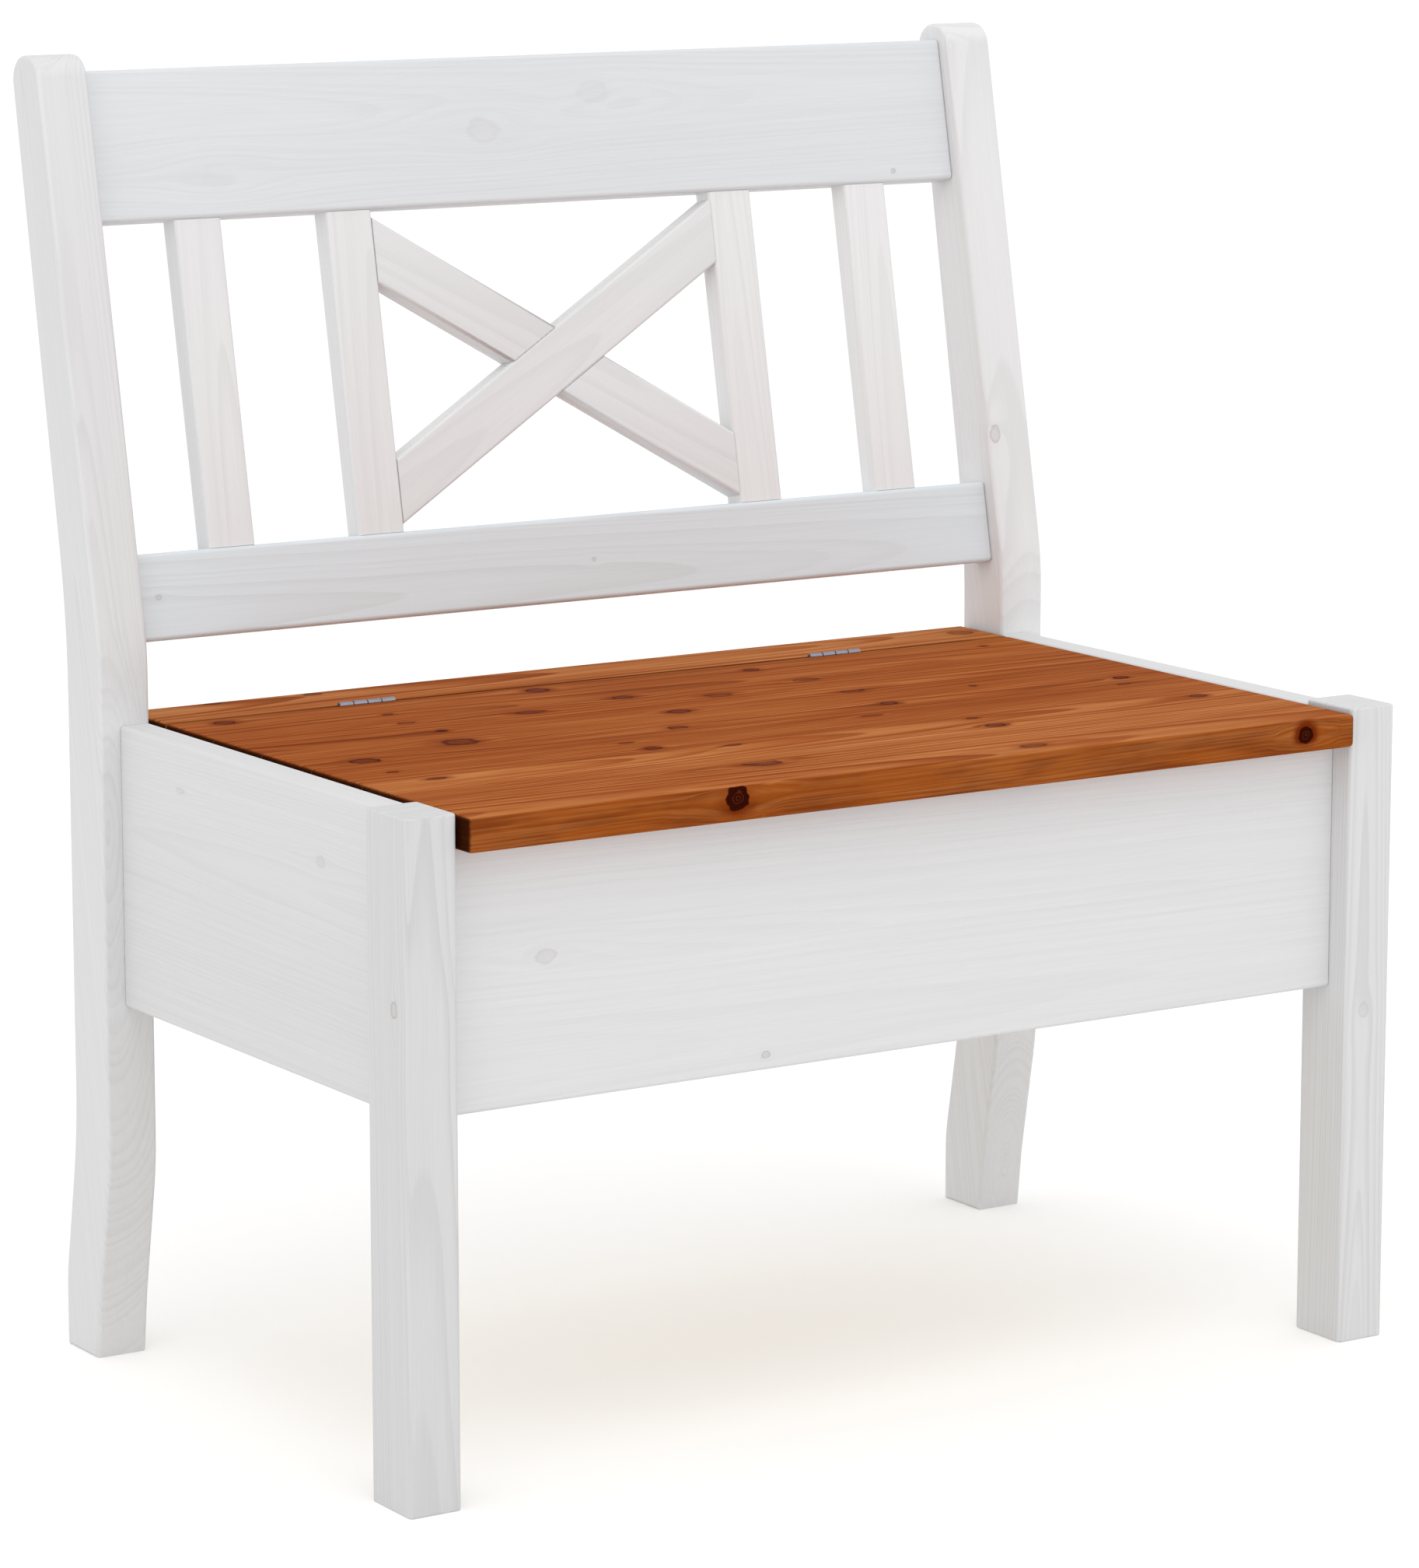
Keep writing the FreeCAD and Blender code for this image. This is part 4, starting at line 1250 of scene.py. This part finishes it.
# %% Make the hinges
knuckle_radius = 0.0024
bore_radius = 0.00115
knuckle_gap = 0.0009
neck_room = 0.0003
leaf_edge = 0.00025
leaf_parting = 0.00015
leaf_thickness = 0.0012
knuckles_per_hinge = 4
outer_opening, inner_opening = 0.16, 0.30
outer_steps, inner_steps = 22, 16
hinge_drill = [
    (0.0, -0.001), (0.00195, -0.001), (0.00195, 0.0), (0.00105, 0.0009), (0.00105, 0.004),
    (0.0, 0.004),
]
pin_dome = [(0.0, 0.0), (0.55, 0.00008), (0.88, 0.00028), (1.0, 0.0006)]


def curl(radius, near, opening, steps):
    """Points in (y, z) round the pin, from a distance beside it to just short of a full turn."""
    start = math.asin(near / radius)
    turns = [start + (2 * math.pi - start - opening) * step / steps for step in range(steps + 1)]
    return [(radius * math.sin(turn), -radius * math.cos(turn)) for turn in turns]


def knuckle_outline(side, neck):
    """The curled end of a leaf in (y, z) from the pin: up the neck, round and back inside."""
    far = leaf_parting + leaf_thickness
    outside = curl(knuckle_radius, far, outer_opening, outer_steps)
    inside = curl(bore_radius, leaf_parting, inner_opening, inner_steps)
    points = [(far, -neck), *outside, *reversed(inside), (leaf_parting, -neck)]
    return [(side * y, z) for y, z in points]


knuckle_tree, given, result = new_tree(
    "knuckles_on_pin",
    [
        ("Geometry", "Geometry", None),
        ("Knuckle", "Object", None),
        ("Start", "Vector", (0, 0, 0)),
        ("Pitch", "Float", 0.01),
        ("Count", "Int", 2),
        ("Finish", "Material", None),
    ],
)
asked = given.outputs
row = add_node(knuckle_tree, "GeometryNodeMeshLine", {
    "Count": asked["Count"], "Start Location": asked["Start"],
    "Offset": vector_from(knuckle_tree, asked["Pitch"]),
})
knuckles = copies_on(knuckle_tree, row.outputs[0], asked["Knuckle"])
hand_out(knuckle_tree, joined(knuckle_tree, asked["Geometry"], knuckles), asked["Finish"], result)


def make_leaf(kind, hand, side, first, body):
    """One leaf: a drilled plate, with every second knuckle along the pin."""
    name = f"hinge_{kind}_leaf_{hand}"
    low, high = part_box(name)
    axis = Vector((low.x, *pin_axis(hand)))
    plate_y = sorted(axis.y + side * far for far in (leaf_parting, leaf_parting + leaf_thickness))
    neck = knuckle_radius + neck_room
    plate = box_mesh((low.x, plate_y[0], low.z), (high.x, plate_y[1], axis.z - neck))
    round_edges(plate, leaf_edge, lambda edge: True, 2)
    leaf = new_piece(plate, name + "_zinc")
    for seat, aim in seats_of[f"hinge_{kind}_screws"]:
        if low.x < seat.x < high.x:
            cut_from(leaf, new_piece(turned(hinge_drill, 20), "drill", place=aimed(seat, aim)))
    pitch = (high.x - low.x + knuckle_gap) / knuckles_per_hinge
    outline = [(0.0, y, z) for y, z in knuckle_outline(side, neck + neck_room)]
    knuckle = new_piece(drawn_out(outline, (pitch - knuckle_gap, 0, 0)), "knuckle")
    piece = grown_by_nodes(
        name + "_grown", knuckle_tree, leaf.data, Knuckle=knuckle,
        Start=axis + Vector((first * pitch, 0, 0)), Pitch=2 * pitch, Count=knuckles_per_hinge // 2,
        Finish=finishes["zinc_steel"],
    )
    bpy.data.objects.remove(leaf)
    bpy.data.objects.remove(knuckle)
    piece.name = name + "_zinc"
    return dress(piece, "zinc_steel", body, name)


def make_pin(hand):
    """A pin with domed ends, turned from one end to the other."""
    name = "hinge_pin_" + hand
    low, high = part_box(name)
    radius, length = (high.z - low.z) / 2, high.x - low.x
    stations = [(radius * share, rise) for share, rise in pin_dome]
    stations += [(radius * share, length - rise) for share, rise in reversed(pin_dome)]
    place = aimed(Vector((low.x, *pin_axis(hand))), AXES["X"])
    pin = new_piece(turned(stations, 24), name + "_zinc", place=place)
    return dress(pin, "zinc_steel", "frame", name)


for hand in ("left", "right"):
    fixed = make_leaf("fixed", hand, 1, 0, "frame")
    moving = make_leaf("moving", hand, -1, 1, "lid")
    pin = make_pin(hand)
    print(fixed.name, len(fixed.data.polygons), moving.name, len(moving.data.polygons), pin.name)
for pattern in (wood_screw, hinge_screw):
    bpy.data.objects.remove(pattern)

# %% [markdown]
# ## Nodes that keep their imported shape
#
# The sheet of the floor is right as it is packed. It only needs its finish, set on the material
# slots of its own mesh.

# %% Give the kept nodes their finish
replaced = {name for piece in bpy.data.objects for name in piece.get("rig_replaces", [])}
kept = sorted(set(nodes) - replaced)
slot_of_node = {name: nodes[name].data.materials[0].name.split(".")[0] for name in kept}
for name in kept:
    for index in range(len(nodes[name].data.materials)):
        nodes[name].data.materials[index] = finishes[slot_of_node[name]]
print("kept as packed:", kept)

# %% [markdown]
# ## Where the knots sit
#
# Most of the seat's character comes from its knots: some thirty of them, from black dots to a
# thumb-wide swirl, and two dark knots in the front edge. Each row below gives a knot's place on the
# board and its radius in millimetres, how much it is drawn out along the grain, how dark it is, and
# how far its brown turns to a cold purple.

# %% List the knots of the seat
SEAT_TOP = 473
branch_lean = 0.12
through_seat, into_edge = 0.05, 0.0025
LID_KNOTS = [
    (-231, -31, 10.5, 1.25, 0.75, 0.0), (-219, 15, 3.4, 1.4, 1.6, 0.0),
    (-333, 128, 6.0, 1.3, 0.8, 0.0), (-324, -61, 7.6, 1.4, 0.95, 0.0),
    (-315, -145, 3.4, 2.2, 0.8, 0.1), (-72, 127, 6.5, 1.3, 0.8, 1.0),
    (-329, -108, 2.8, 1.6, 0.9, 0.1), (-217, 95, 2.6, 1.6, 0.9, 0.2),
    (-224, 57, 3.0, 2.4, 0.7, 0.1),
    (-125, 48, 6.0, 1.9, 0.6, 0.3), (-35, 66, 5.6, 1.5, 0.7, 0.3),
    (-33, -8, 6.4, 1.3, 0.9, 0.4), (-71, -65, 5.8, 1.3, 0.9, 0.3),
    (30, 37, 6.0, 1.9, 0.55, 0.2), (112, 119, 5.0, 1.2, 0.95, 0.5),
    (122, 60, 6.2, 1.7, 0.5, 0.1), (123, 0, 6.4, 1.5, 0.7, 0.1),
    (115, -61, 4.8, 1.3, 1.0, 0.8), (211, -31, 2.6, 1.2, 1.0, 0.0),
    (126, -179, 5.0, 1.5, 0.8, 0.6), (-130, -126, 4.6, 1.3, 0.95, 0.2),
    (-134, -98, 2.4, 2.4, 0.8, 0.0), (-76, -145, 2.6, 2.6, 0.8, 0.1),
    (-98, -216, 7.6, 1.8, 0.7, 0.9), (129, -146, 2.6, 1.6, 1.0, 0.2),
    (74, -98, 3.2, 2.6, 0.6, 0.1), (326, 117, 2.4, 1.2, 1.0, 0.2),
    (326, -60, 4.6, 1.4, 1.2, 0.1), (311, -85, 2.6, 2.4, 0.8, 0.1),
    (325, -157, 4.6, 1.4, 0.8, 0.3), (100, -261, 5.4, 1.9, 0.6, 0.8),
]
STRIP_KNOTS = [
    (-221, 201, 4.4, 1.7, 0.7, 0.1), (-302, 205, 4.0, 1.6, 0.7, 0.0),
    (350, 181, 8.0, 1.3, 0.5, 0.0),
]
EDGE_KNOTS = [
    ((-161, -282.6, 465.4), 7.6, 1.12, 1.7, 0.0), ((326, -282.6, 462), 5.4, 1.1, 1.7, 0.0),
]


def on_seat(rows):
    """Rows of knots with the seat's height added to their places."""
    return [((x, y, SEAT_TOP), *look) for x, y, *look in rows]


def in_trunk(piece_name, rows, axis, reach):
    """The knots of a piece, by stave, as settings of the knot group in the numbers of its grain."""
    grain = grain_of_piece[piece_name]
    chance = random.Random(piece_name)
    found = [[] for _ in grain["staves"]]
    for place, radius, stretch, depth, cold in rows:
        point = Vector(place) / 1000
        number, _ = stave_number(grain, point)
        matrix = grain["staves"][number]
        lean_away = Vector(chance.uniform(-branch_lean, branch_lean) for _ in range(3))
        branch = (matrix.to_3x3() @ (axis + lean_away)).normalized()
        found[number].append({
            "Place": matrix @ point, "Axis": branch, "Radius": radius / 1000, "Stretch": stretch,
            "Depth": depth, "Cold": cold, "Reach": reach,
        })
    return found


lid_knots = in_trunk("lid_pine", on_seat(LID_KNOTS), AXES["Z"], through_seat)
for found, edge_found in zip(lid_knots, in_trunk("lid_pine", EDGE_KNOTS, FRONT, into_edge)):
    found += edge_found
strip_knots = in_trunk("hinge_board_pine", on_seat(STRIP_KNOTS), AXES["Z"], through_seat)
print("knots in the lid's staves:", [len(found) for found in lid_knots])

# %% [markdown]
# ## Reading the wood in a material
#
# Both pine finishes start the same way: read grain and stave, chain the knots, and ask the figure
# for rings and fibres. They end the same way too, with a colour, a roughness and a slight bump.
# Colours are written in screen numbers from 0 to 255, which are easier to compare with a
# photograph, and turned into the linear numbers that a shader needs.


# %% Helpers for the pine finishes
def tone(red, green, blue):
    """A colour written in screen numbers as the linear colour of a shader."""
    shares = (value / 255 for value in (red, green, blue))
    linear = [s / 12.92 if s <= 0.04045 else ((s + 0.055) / 1.055) ** 2.4 for s in shares]
    return (*linear, 1.0)


def read_wood(tree, knots, ring_width, wander):
    """Adds the nodes that read a piece's wood, and hands back their outputs by name."""
    start = add_node(tree, "ShaderNodeAttribute", attribute_name="grain").outputs["Vector"]
    stave = add_node(tree, "ShaderNodeAttribute", attribute_name="stave").outputs["Vector"]
    side, stave_tone, end = parts_of(tree, stave)
    wobble = stretched_noise(tree, start, 90.0, 190.0, 3.0).outputs["Fac"]
    wobble = ramp_of(tree, wobble, 0.2, 0.8, -0.19, 0.19)
    wood = {"Grain": start, "Knot": 0.0, "Rim": 0.0, "Halo": 0.0, "Chill": 0.0}
    for knot in knots:
        settings = {**wood, **knot, "Start": start, "Wobble": wobble}
        group = add_node(tree, "ShaderNodeGroup", settings, node_tree=pine_knot)
        wood = {label: group.outputs[label] for label in wood}
    settings = {"Grain": wood["Grain"], "Ring Width": ring_width, "Wander": wander}
    figure = add_node(tree, "ShaderNodeGroup", settings, node_tree=pine_figure)
    wood.update({label: figure.outputs[label] for label in ("Late", "Fibre", "Streak", "Cloud")})
    side = math_of(tree, "ABSOLUTE", side)
    return {**wood, "Side": side, "Tone": stave_tone, "End": end, "Start": start}


def varied(tree, *shares):
    """A brightness near one, from pairs of a value near one half and how much it counts."""
    total = 1.0
    for value, weight in shares:
        centred = math_of(tree, "SUBTRACT", value, 0.5)
        total = math_of(tree, "MULTIPLY_ADD", centred, weight, total)
    return total


def tinted(tree, colour, *tints):
    """A colour after one tint and another, each given as a value, its weight and the tint."""
    for value, weight, tint in tints:
        colour = mix_of(tree, math_of(tree, "MULTIPLY", value, weight), colour, tint)
    return colour


def fresh_tree(owner):
    """The node tree of a material or a world, emptied."""
    owner.use_nodes = True
    owner.node_tree.nodes.clear()
    return owner.node_tree


def surface(tree, colour, rough, height, bump_strength, bump_depth):
    """A shader with a colour, a roughness and a bump, linked to the material's output."""
    inputs = {"Strength": bump_strength, "Distance": bump_depth, "Height": height}
    bump = add_node(tree, "ShaderNodeBump", inputs).outputs[0]
    inputs = {"Base Color": colour, "Roughness": rough, "Normal": bump}
    shader = add_node(tree, "ShaderNodeBsdfPrincipled", inputs)
    add_node(tree, "ShaderNodeOutputMaterial", {"Surface": shader.outputs[0]})
    return shader.inputs


def finish_staves(piece_name, knots_by_stave, paint, plain):
    """Gives each stave with knots a finish of its own, and the other staves the plain one."""
    piece = bpy.data.objects[piece_name]
    mesh, grain = piece.data, grain_of_piece[piece_name]
    mesh.materials.clear()
    for number, knots in enumerate(knots_by_stave):
        finish = plain
        if knots:
            finish = bpy.data.materials.new(f"{piece_name}_stave_{number + 1}")
            paint(finish, knots)
        mesh.materials.append(finish)
    for face in mesh.polygons:
        face.material_index = stave_number(grain, face.center)[0]


print("wood readers ready")

# %% [markdown]
# ## Stained pine for the seat
#
# The seat is pine under a honey-brown stain and a dull lacquer that hardly shines. Late wood is
# darker, the knots darker still with a near-black rim, and the wood round a knot turns redder. Thin
# pale lines show where the staves are glued. The edges are blotched. The ends of the boards are
# nearly black, partly because end grain soaks up the most stain and partly as painted shade for the
# gaps beside them, and the seam is darkened as painted shade. The lacquer fills the pores, so the
# bump is slight.

# %% Stained pine
def paint_stained(material, knots):
    tree = fresh_tree(material)
    wood = read_wood(tree, knots, ring_width=0.0031, wander=0.014)
    edge = add_node(tree, "ShaderNodeAttribute", attribute_name="edge").outputs["Fac"]
    lines = math_of(tree, "MULTIPLY", wood["Late"], ramp_of(tree, edge, 0.0, 0.35, -0.42, -0.20))
    # The stave's tone brings in the painted light of the seat's tones.
    light = varied(
        tree, (wood["Fibre"], 0.85), (wood["Streak"], 0.45),
        (wood["Cloud"], 0.40), (wood["Tone"], 0.34),
    )
    light = math_of(tree, "ADD", light, lines)
    fairly_light = ramp_of(tree, light, 0.5, 1.0, smooth=False)
    very_light = ramp_of(tree, light, 1.0, 1.5, smooth=False)
    colour = mix_of(tree, fairly_light, tone(104, 40, 10), tone(163, 86, 36))
    colour = mix_of(tree, very_light, colour, tone(208, 144, 88))
    blotch = stretched_noise(tree, wood["Start"], 14.0, 80.0, 3.0).outputs["Fac"]
    blotch = ramp_of(tree, blotch, 0.40, 0.66)
    edge_tint = mix_of(tree, blotch, tone(142, 70, 18), tone(92, 32, 6))
    colour = mix_of(tree, ramp_of(tree, edge, 0.0, 0.35, 0.0, 0.55), colour, edge_tint)
    # Painted shade: where edge rises above one, along the seam, the colour is darkened nearly to
    # black.
    colour = vector_of(tree, "SCALE", colour, scale=ramp_of(tree, edge, 1.0, 2.0, 1.0, 0.06))
    # End grain darkened nearly to black: partly the stain it soaks up, partly painted shade for the
    # narrow gaps beside the ends.
    colour = mix_of(tree, ramp_of(tree, wood["End"], 0.3, 0.9, 0.0, 0.92), colour, tone(36, 9, 4))
    flame = ramp_of(tree, wood["Streak"], 0.35, 0.62, 0.15, 0.90)
    flame = math_of(tree, "MULTIPLY", wood["Halo"], flame)
    colour = mix_of(tree, flame, colour, tone(112, 42, 10))
    colour = tinted(
        tree, colour,
        (wood["Knot"], 1.10, tone(108, 44, 20)),
        (wood["Chill"], 0.34, tone(106, 66, 64)),
        (wood["Rim"], 0.90, tone(50, 12, 6)),
        (ramp_of(tree, wood["Knot"], 1.0, 1.6), 0.90, tone(30, 3, 2)),
        (ramp_of(tree, wood["Side"], 0.986, 0.996), 0.20, tone(186, 116, 74)),
    )
    rough = ramp_of(tree, wood["Fibre"], 0.2, 0.8, 0.56, 0.68)
    height = varied(tree, (wood["Fibre"], 0.5), (wood["Late"], 0.5), (wood["Knot"], 0.4))
    inputs = surface(tree, colour, rough, height, bump_strength=0.55, bump_depth=0.0004)
    inputs["Specular IOR Level"].default_value = 0.008
    inputs["Specular Tint"].default_value = tone(255, 130, 66)


paint_stained(finishes["stained_pine"], [])
finish_staves("lid_pine", lid_knots, paint_stained, finishes["stained_pine"])
finish_staves("hinge_board_pine", strip_knots, paint_stained, finishes["stained_pine"])
print("the lid's finishes:", len(lid.data.materials))

# %% [markdown]
# ## White glazed pine for the frame
#
# The frame's pine is covered by a thin white glaze. It hides the colour of the wood but not its
# relief: the rings show as faint grey lines, and where a knot was the glaze has yellowed or gone
# a little purple. On end grain the arcs of the rings are clearer. Some pieces show more of their
# figure through the glaze than others, so a table says how much. The rails' glaze is painted a
# little cooler than the rest, to cancel the warm light that the stained seat throws on them. The
# knots' rows read as those of the seat.

# %% Knots of the frame and white glazed pine
FRAME_KNOTS = {
    "rear_post_left_pine": [((-395, 162, 300), 4.0, 1.4, 0.35, 0.3)],
    "rear_post_right_pine": [((382, 182, 628), 4.4, 1.5, 0.7, 0.4)],
    "front_leg_left_pine": [((-415, -258, 345), 4.4, 1.3, 0.9, 0.2)],
    "front_leg_right_pine": [((392, -273, 250), 4.0, 1.5, 0.35, 0.4)],
    "front_panel_pine": [
        ((-295, -253.6, 367), 5.0, 1.6, 0.35, 0.9), ((-119, -253.6, 277), 2.6, 1.3, 0.9, 0.2),
    ],
    "side_panel_left_pine": [
        ((-399, -132, 422), 4.6, 1.3, 0.3, 0.6), ((-399, 71, 439), 2.2, 2.6, 0.4, 0.1),
    ],
    "side_panel_right_pine": [((399, 40, 350), 6.0, 1.6, 0.6, 0.4)],
    "top_rail_pine": [
        ((-273, 238, 854), 9.0, 1.4, 0.04, 1.0), ((319, 234, 833), 1.8, 1.2, 1.0, 0.2),
        ((-47, 243, 878), 9.0, 1.4, 0.16, 1.0), ((52, 249, 903), 8.0, 1.6, 0.10, 1.0),
    ],
    "lower_back_rail_pine": [
        ((-357, 180, 559), 1.8, 1.2, 0.8, 0.3), ((10.5, 180, 558), 1.6, 1.2, 0.7, 0.3),
    ],
    "rear_panel_pine": [
        ((-140, 204, 380), 7.0, 1.5, 0.7, 0.4), ((230, 204, 300), 6.0, 1.5, 0.6, 0.6),
    ],
}
FIGURE_SEEN = {
    "front_panel_pine": 0.12, "side_panel_left_pine": 0.14, "side_panel_right_pine": 0.14,
    "front_leg_left_pine": 0.38, "front_leg_right_pine": 0.38, "rear_post_left_pine": 0.26,
    "rear_post_right_pine": 0.26, "top_rail_pine": 0.14,
}
through_frame = 0.06
usual_figure = 0.24
usual_glaze = tone(225, 225, 226)
# The rails' glazes are cooler, painting out the warm light that the stained seat throws on them.
GLAZES_WITH_PAINTED_LIGHT = {"top_rail_pine": tone(222, 225, 228), "lower_back_rail_pine": tone(220, 226, 230)}


def paint_white(material, knots, figure=usual_figure, glaze=usual_glaze):
    tree = fresh_tree(material)
    wood = read_wood(tree, knots, ring_width=0.0029, wander=0.010)
    rings = ramp_of(tree, wood["End"], 0.6, 1.0, figure, 0.75)
    rings = math_of(tree, "MULTIPLY", wood["Late"], rings)
    colour = mix_of(tree, rings, glaze, tone(196, 196, 195))
    # The stave's tone brings in the painted light and shade of the table of tones.
    light = varied(
        tree, (wood["Fibre"], 0.11), (wood["Streak"], 0.03),
        (wood["Cloud"], 0.05), (wood["Tone"], 0.30),
    )
    colour = vector_of(tree, "SCALE", colour, scale=light)
    colour = tinted(
        tree, colour,
        (wood["Halo"], 0.10, tone(206, 196, 184)),
        (wood["Knot"], 0.28, tone(170, 162, 152)),
        (wood["Chill"], 0.40, tone(182, 176, 190)),
        (wood["Rim"], 0.42, tone(144, 136, 132)),
    )
    rough = ramp_of(tree, wood["Fibre"], 0.2, 0.8, 0.48, 0.60)
    height = varied(tree, (wood["Fibre"], 0.6), (wood["Late"], 0.8), (wood["Streak"], 0.3))
    inputs = surface(tree, colour, rough, height, bump_strength=0.22, bump_depth=0.0003)
    inputs["Specular IOR Level"].default_value = 0.3


paint_white(finishes["white_glazed_pine"], [])
for piece_name, rows in FRAME_KNOTS.items():
    branch = AXES["X"] if piece_name.startswith(("side_panel", "front_leg_left")) else FRONT
    look = {
        "figure": FIGURE_SEEN.get(piece_name, usual_figure),
        "glaze": GLAZES_WITH_PAINTED_LIGHT.get(piece_name, usual_glaze),
    }
    paint = partial(paint_white, **look)
    plain = bpy.data.materials.new(piece_name + "_plain")
    paint(plain, [])
    finish_staves(piece_name, in_trunk(piece_name, rows, branch, through_frame), paint, plain)
print("finishes in all:", len(bpy.data.materials))

# %% [markdown]
# ## Plywood and zinc
#
# The floor of the box is a thin sheet of birch plywood: long, faint, wavy figure on its faces and
# thin layers on its edges. The hinges and screws are bright zinc, brushed along their length.

# %% Birch plywood and zinc steel
ply_thickness = 0.0015
dark_layer = (0.0006, 0.0009)
tree = fresh_tree(finishes["birch_plywood"])
place = add_node(tree, "ShaderNodeTexCoord").outputs["Object"]
figure = stretched_noise(tree, place, 3.0, 26.0, 3.0).outputs["Fac"]
flecks = stretched_noise(tree, place, 30.0, 700.0, 2.0).outputs["Fac"]
colour = mix_of(tree, ramp_of(tree, figure, 0.35, 0.65), tone(228, 210, 180), tone(214, 190, 154))
colour = vector_of(tree, "SCALE", colour, scale=varied(tree, (flecks, 0.25)))
layer = math_of(tree, "PINGPONG", parts_of(tree, place)[2], ply_thickness)
normal_up = parts_of(tree, tree.nodes.new("ShaderNodeNewGeometry").outputs["Normal"])[2]
on_edge = ramp_of(tree, math_of(tree, "ABSOLUTE", normal_up), 0.2, 0.6, 1.0, 0.0)
layers = math_of(tree, "MULTIPLY", ramp_of(tree, layer, *dark_layer), on_edge)
colour = tinted(tree, colour, (layers, 0.55, tone(140, 102, 66)))
rough = ramp_of(tree, flecks, 0.2, 0.8, 0.62, 0.74)
surface(tree, colour, rough, flecks, bump_strength=0.2, bump_depth=0.0002)

tree = fresh_tree(finishes["zinc_steel"])
place = add_node(tree, "ShaderNodeTexCoord").outputs["Object"]
brushed = stretched_noise(tree, place, 120.0, 5200.0, 2.0).outputs["Fac"]
spangle = noise_of(tree, place, 620.0, 2.0).outputs["Fac"]
colour = mix_of(tree, spangle, tone(134, 134, 146), tone(170, 171, 184))
rough = ramp_of(tree, spangle, 0.3, 0.7, 0.20, 0.30)
rough = math_of(tree, "MULTIPLY_ADD", brushed, 0.20, rough)
inputs = surface(tree, colour, rough, brushed, bump_strength=0.15, bump_depth=0.00008)
inputs["Metallic"].default_value = 1.0
print("plywood and zinc ready")

# %% [markdown]
# ## The floor and its shadow
#
# The bench stands in a white studio. The floor is pale and matt, so it keeps the bench's shadow;
# a little light of its own, seen only by the camera and in shiny or clear surfaces, carries it to
# white. The world is plain white where it is seen, and a little dimmer where it lights the bench.

# %% Floor and world
floor_reach = 40.0
floor_grey = 0.90
floor_glow = 0.21
world_light = 0.94


def seen_rays(tree):
    """One for the rays that see a thing, straight or in a surface, and zero for the others."""
    path = tree.nodes.new("ShaderNodeLightPath").outputs
    seen = math_of(tree, "MAXIMUM", path["Is Camera Ray"], path["Is Glossy Ray"])
    return math_of(tree, "MAXIMUM", seen, path["Is Transmission Ray"])


floor_mesh = bpy.data.meshes.new("studio_floor")
bm = bmesh.new()
bmesh.ops.create_grid(bm, x_segments=8, y_segments=8, size=floor_reach)
bm.to_mesh(floor_mesh)
bm.free()
studio_floor = bpy.data.objects.new("studio_floor", floor_mesh)
bpy.context.scene.collection.objects.link(studio_floor)
floor_paint = bpy.data.materials.new("studio_floor")
floor_mesh.materials.append(floor_paint)
tree = fresh_tree(floor_paint)
matt = add_node(tree, "ShaderNodeBsdfDiffuse", {"Color": (floor_grey, floor_grey, floor_grey, 1.0)})
glow = math_of(tree, "MULTIPLY", seen_rays(tree), floor_glow)
own_light = add_node(tree, "ShaderNodeEmission", {"Strength": glow})
floor_sum = add_node(tree, "ShaderNodeAddShader", {0: matt.outputs[0], 1: own_light.outputs[0]})
add_node(tree, "ShaderNodeOutputMaterial", {0: floor_sum.outputs[0]})

world = bpy.data.worlds.new("studio")
bpy.context.scene.world = world
tree = fresh_tree(world)
strength = ramp_of(tree, seen_rays(tree), 0.0, 1.0, world_light, 1.0, smooth=False)
sky = add_node(tree, "ShaderNodeBackground", {"Color": (1.0, 1.0, 1.0, 1.0), "Strength": strength})
add_node(tree, "ShaderNodeOutputWorld", {0: sky.outputs[0]})
print("floor and world set")

# %% [markdown]
# ## Soft lamps
#
# The light is even and comes from all round, with a large soft lamp low at the left, one before the
# bench and one overhead, which lights the tops and draws a shadow under the lid. Together with the
# world they light a face at a level of about one, so a colour renders nearly as it is written.

# %% Lamps
def soft_lamp(name, place, target, size, power):
    lamp_data = bpy.data.lights.new(name, "AREA")
    lamp_data.shape = "DISK"
    lamp_data.size = size
    lamp_data.energy = power
    lamp = bpy.data.objects.new(name, lamp_data)
    lamp.location = place
    lamp.rotation_euler = (Vector(target) - Vector(place)).to_track_quat("-Z", "Y").to_euler()
    bpy.context.scene.collection.objects.link(lamp)
    return lamp


bench_middle = (0.0, 0.0, 0.45)
soft_lamp("key", (-6.0, -2.4, 0.9), bench_middle, size=3.6, power=32.0)
soft_lamp("fill", (1.6, -6.5, 2.6), bench_middle, size=4.0, power=20.0)
soft_lamp("overhead", (-0.8, -1.6, 3.6), bench_middle, size=2.2, power=18.0)
bpy.context.scene.view_settings.view_transform = "Standard"
